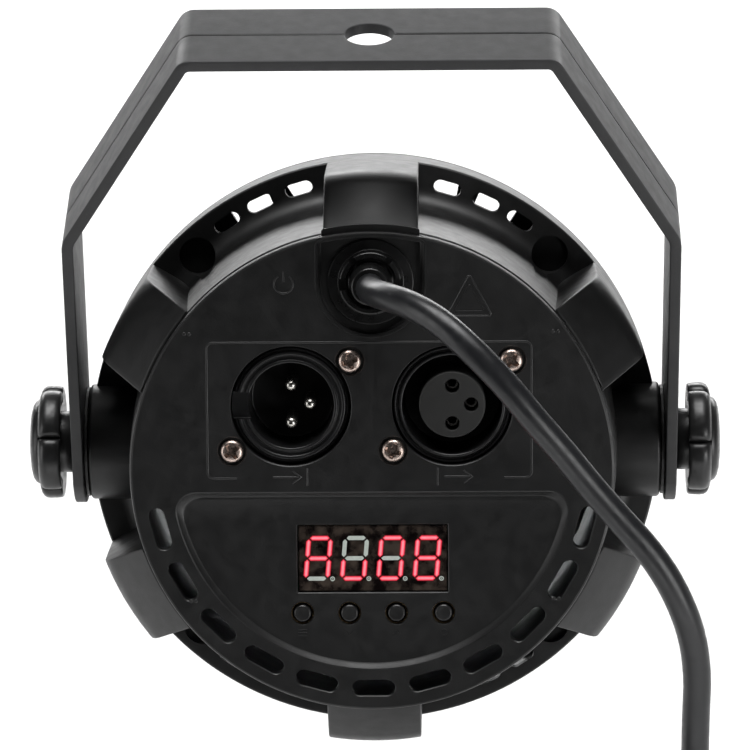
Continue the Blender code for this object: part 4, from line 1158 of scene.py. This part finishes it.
# ---- optics
def make_optics():
    lens_places = [(0.0, 0.0)] + [polar(27.0, 30.0 + 60.0 * k) for k in range(6)]

    def lenses(bm):
        turned(bm, [(0.0, 5.2), (46.6, 5.2), (46.6, 6.2), (0.0, 6.2)], 96)
    plate = new_object("collimators", lenses)

    def cups(bm):
        for place in lens_places:
            dome = [(11.2 * k / 10.0, 7.0 - 0.8 * (k / 10.0) ** 2) for k in range(10)]
            cup = [(11.4, 5.9)] + [(3.2 + 8.2 * sin(pi / 2.0 * t / 8.0), -3.6 + 9.0 * t / 8.0)
                                   for t in range(8, -1, -1)]
            turned(bm, dome + cup + [(0.0, -3.6)], 48, place)
    join(plate, cups)
    dress(plate, "clear", nodes=("lens_plate",), sharp=30.0)

    low, high = lamp_box("front_window")
    window = rounded([(0.0, low.y, 0.0), (high.x, low.y, 0.3), (high.x, high.y, 0.3),
                      (0.0, high.y, 0.0)], 3)
    piece("clear_window", "clear", lambda bm: turned(bm, window, 144), nodes=("front_window",))

    face = lamp_box("led_board")[1].y

    def emitters(bm):
        for x, z in lens_places:
            for u, v in ((-1.1, -1.1), (1.1, -1.1), (1.1, 1.1), (-1.1, 1.1)):
                dome = [(0.95 * cos(a), face + 0.02 + 0.5 * sin(a))
                        for a in [pi / 2.0 * k / 5.0 for k in range(6)]]
                turned(bm, [(0.0, face - 0.1), (0.95, face - 0.1), *dome], 16, (x + u, z + v))
    obj = piece("emitter_domes", "clear", emitters)
    obj.data.materials[0] = EMITTER


def dress_frame_nodes():
    """Materials for the CAD nodes that stay as they are."""
    looks = {"friction_washer_left": "rubber_black", "friction_washer_right": "rubber_black",
             "threaded_insert_left": "brass", "threaded_insert_right": "brass",
             "clamp_screw_left": "nickel", "clamp_screw_right": "nickel",
             "led_board": "white_board", "heatsink": "aluminium", "driver_board": "green_board",
             "control_board": "green_board", "mains_loom": "loom_black", "led_loom": "loom_black"}
    for node, look in looks.items():
        obj = frame["nodes"][node]
        obj.data.materials.clear()
        obj.data.materials.append(LOOKS[look])


# ---- stage
def make_camera():
    look = Vector((-0.01593, 0.87092, -0.49117)).normalized()
    up = Vector((0.00508, 0.49130, 0.87098))
    right = look.cross(up).normalized()
    up = right.cross(look)
    data = bpy.data.cameras.new("camera")
    data.sensor_width = 36.0
    data.lens = 231.93
    data.clip_end = 20.0
    camera = linked("camera", data)
    turn = Matrix((right, up, -look)).transposed().to_4x4()
    camera.matrix_world = Matrix.Translation((0.01617, -0.87363, 0.41452)) @ turn
    bpy.context.scene.camera = camera


def make_stage():
    """Pale floor below the hanging lamp."""
    bm = bmesh.new()
    bmesh.ops.create_grid(bm, x_segments=1, y_segments=1, size=3.0)
    mesh = bpy.data.meshes.new("floor")
    bm.to_mesh(mesh)
    bm.free()
    floor = linked("floor", mesh)
    floor.location = (0.0, 2.2, cad_box[0][2] - 0.04)
    look = Look("floor_paper", specular=0.2)
    look.colour(look.blend(look.noise(40.0, 3.0), (0.90, 0.90, 0.90), (0.93, 0.93, 0.93)))
    look.rough(look.span(look.noise(5.0, 2.0), 0.8, 0.95))
    mesh.materials.append(look.mat)


def area_light(name, place, target, size, power):
    data = bpy.data.lights.new(name, "AREA")
    data.shape = "RECTANGLE"
    data.size, data.size_y = size
    data.energy = power
    light = linked(name, data)
    light.location = place
    way = Vector(target) - Vector(place)
    light.rotation_euler = way.to_track_quat("-Z", "Y").to_euler()
    light.visible_camera = False


def make_light():
    """White studio: bright behind and above the lamp, dim on the camera's side."""
    world = bpy.data.worlds.new("studio")
    bpy.context.scene.world = world
    world.use_nodes = True
    tree = world.node_tree
    place = tree.nodes.new("ShaderNodeTexCoord")
    split = tree.nodes.new("ShaderNodeSeparateXYZ")
    tree.links.new(place.outputs["Generated"], split.inputs["Vector"])
    band = map_range(tree, split.outputs["Z"], 0.10, 0.42, 3.4, 0.55)
    glow = map_range(tree, split.outputs["Y"], -0.55, 0.30, 0.30, 1.0)
    tree.links.new(band.outputs["Result"], glow.inputs["To Max"])
    tree.links.new(glow.outputs["Result"], tree.nodes["Background"].inputs["Strength"])
    area_light("rear_soft", (0.0, 1.25, 0.10), (0.0, 0.0, -0.05), (1.8, 0.30), 14.0)
    area_light("top_soft", (0.0, 0.25, 1.6), (0.0, 0.25, 0.0), (1.3, 1.0), 34.0)
    area_light("left_soft", (-1.3, -0.5, 0.1), (0.0, 0.0, -0.1), (0.7, 1.0), 5.0)
    area_light("right_soft", (0.9, -0.9, 0.0), (0.0, 0.0, -0.1), (0.6, 0.6), 6.0)
    area_light("low_soft", (0.05, -0.42, -0.29), (0.0, -0.04, -0.14), (0.5, 0.10), 0.25)


# ---- build
for make in (make_camera, make_lead, make_stage, make_light, make_yoke, make_housing, make_bezel,
             make_panel, make_marks, make_key_marks, make_sockets, make_screws, make_display,
             make_gland, make_knobs, make_optics, dress_frame_nodes):
    make()
bpy.context.scene.view_settings.view_transform = "Standard"
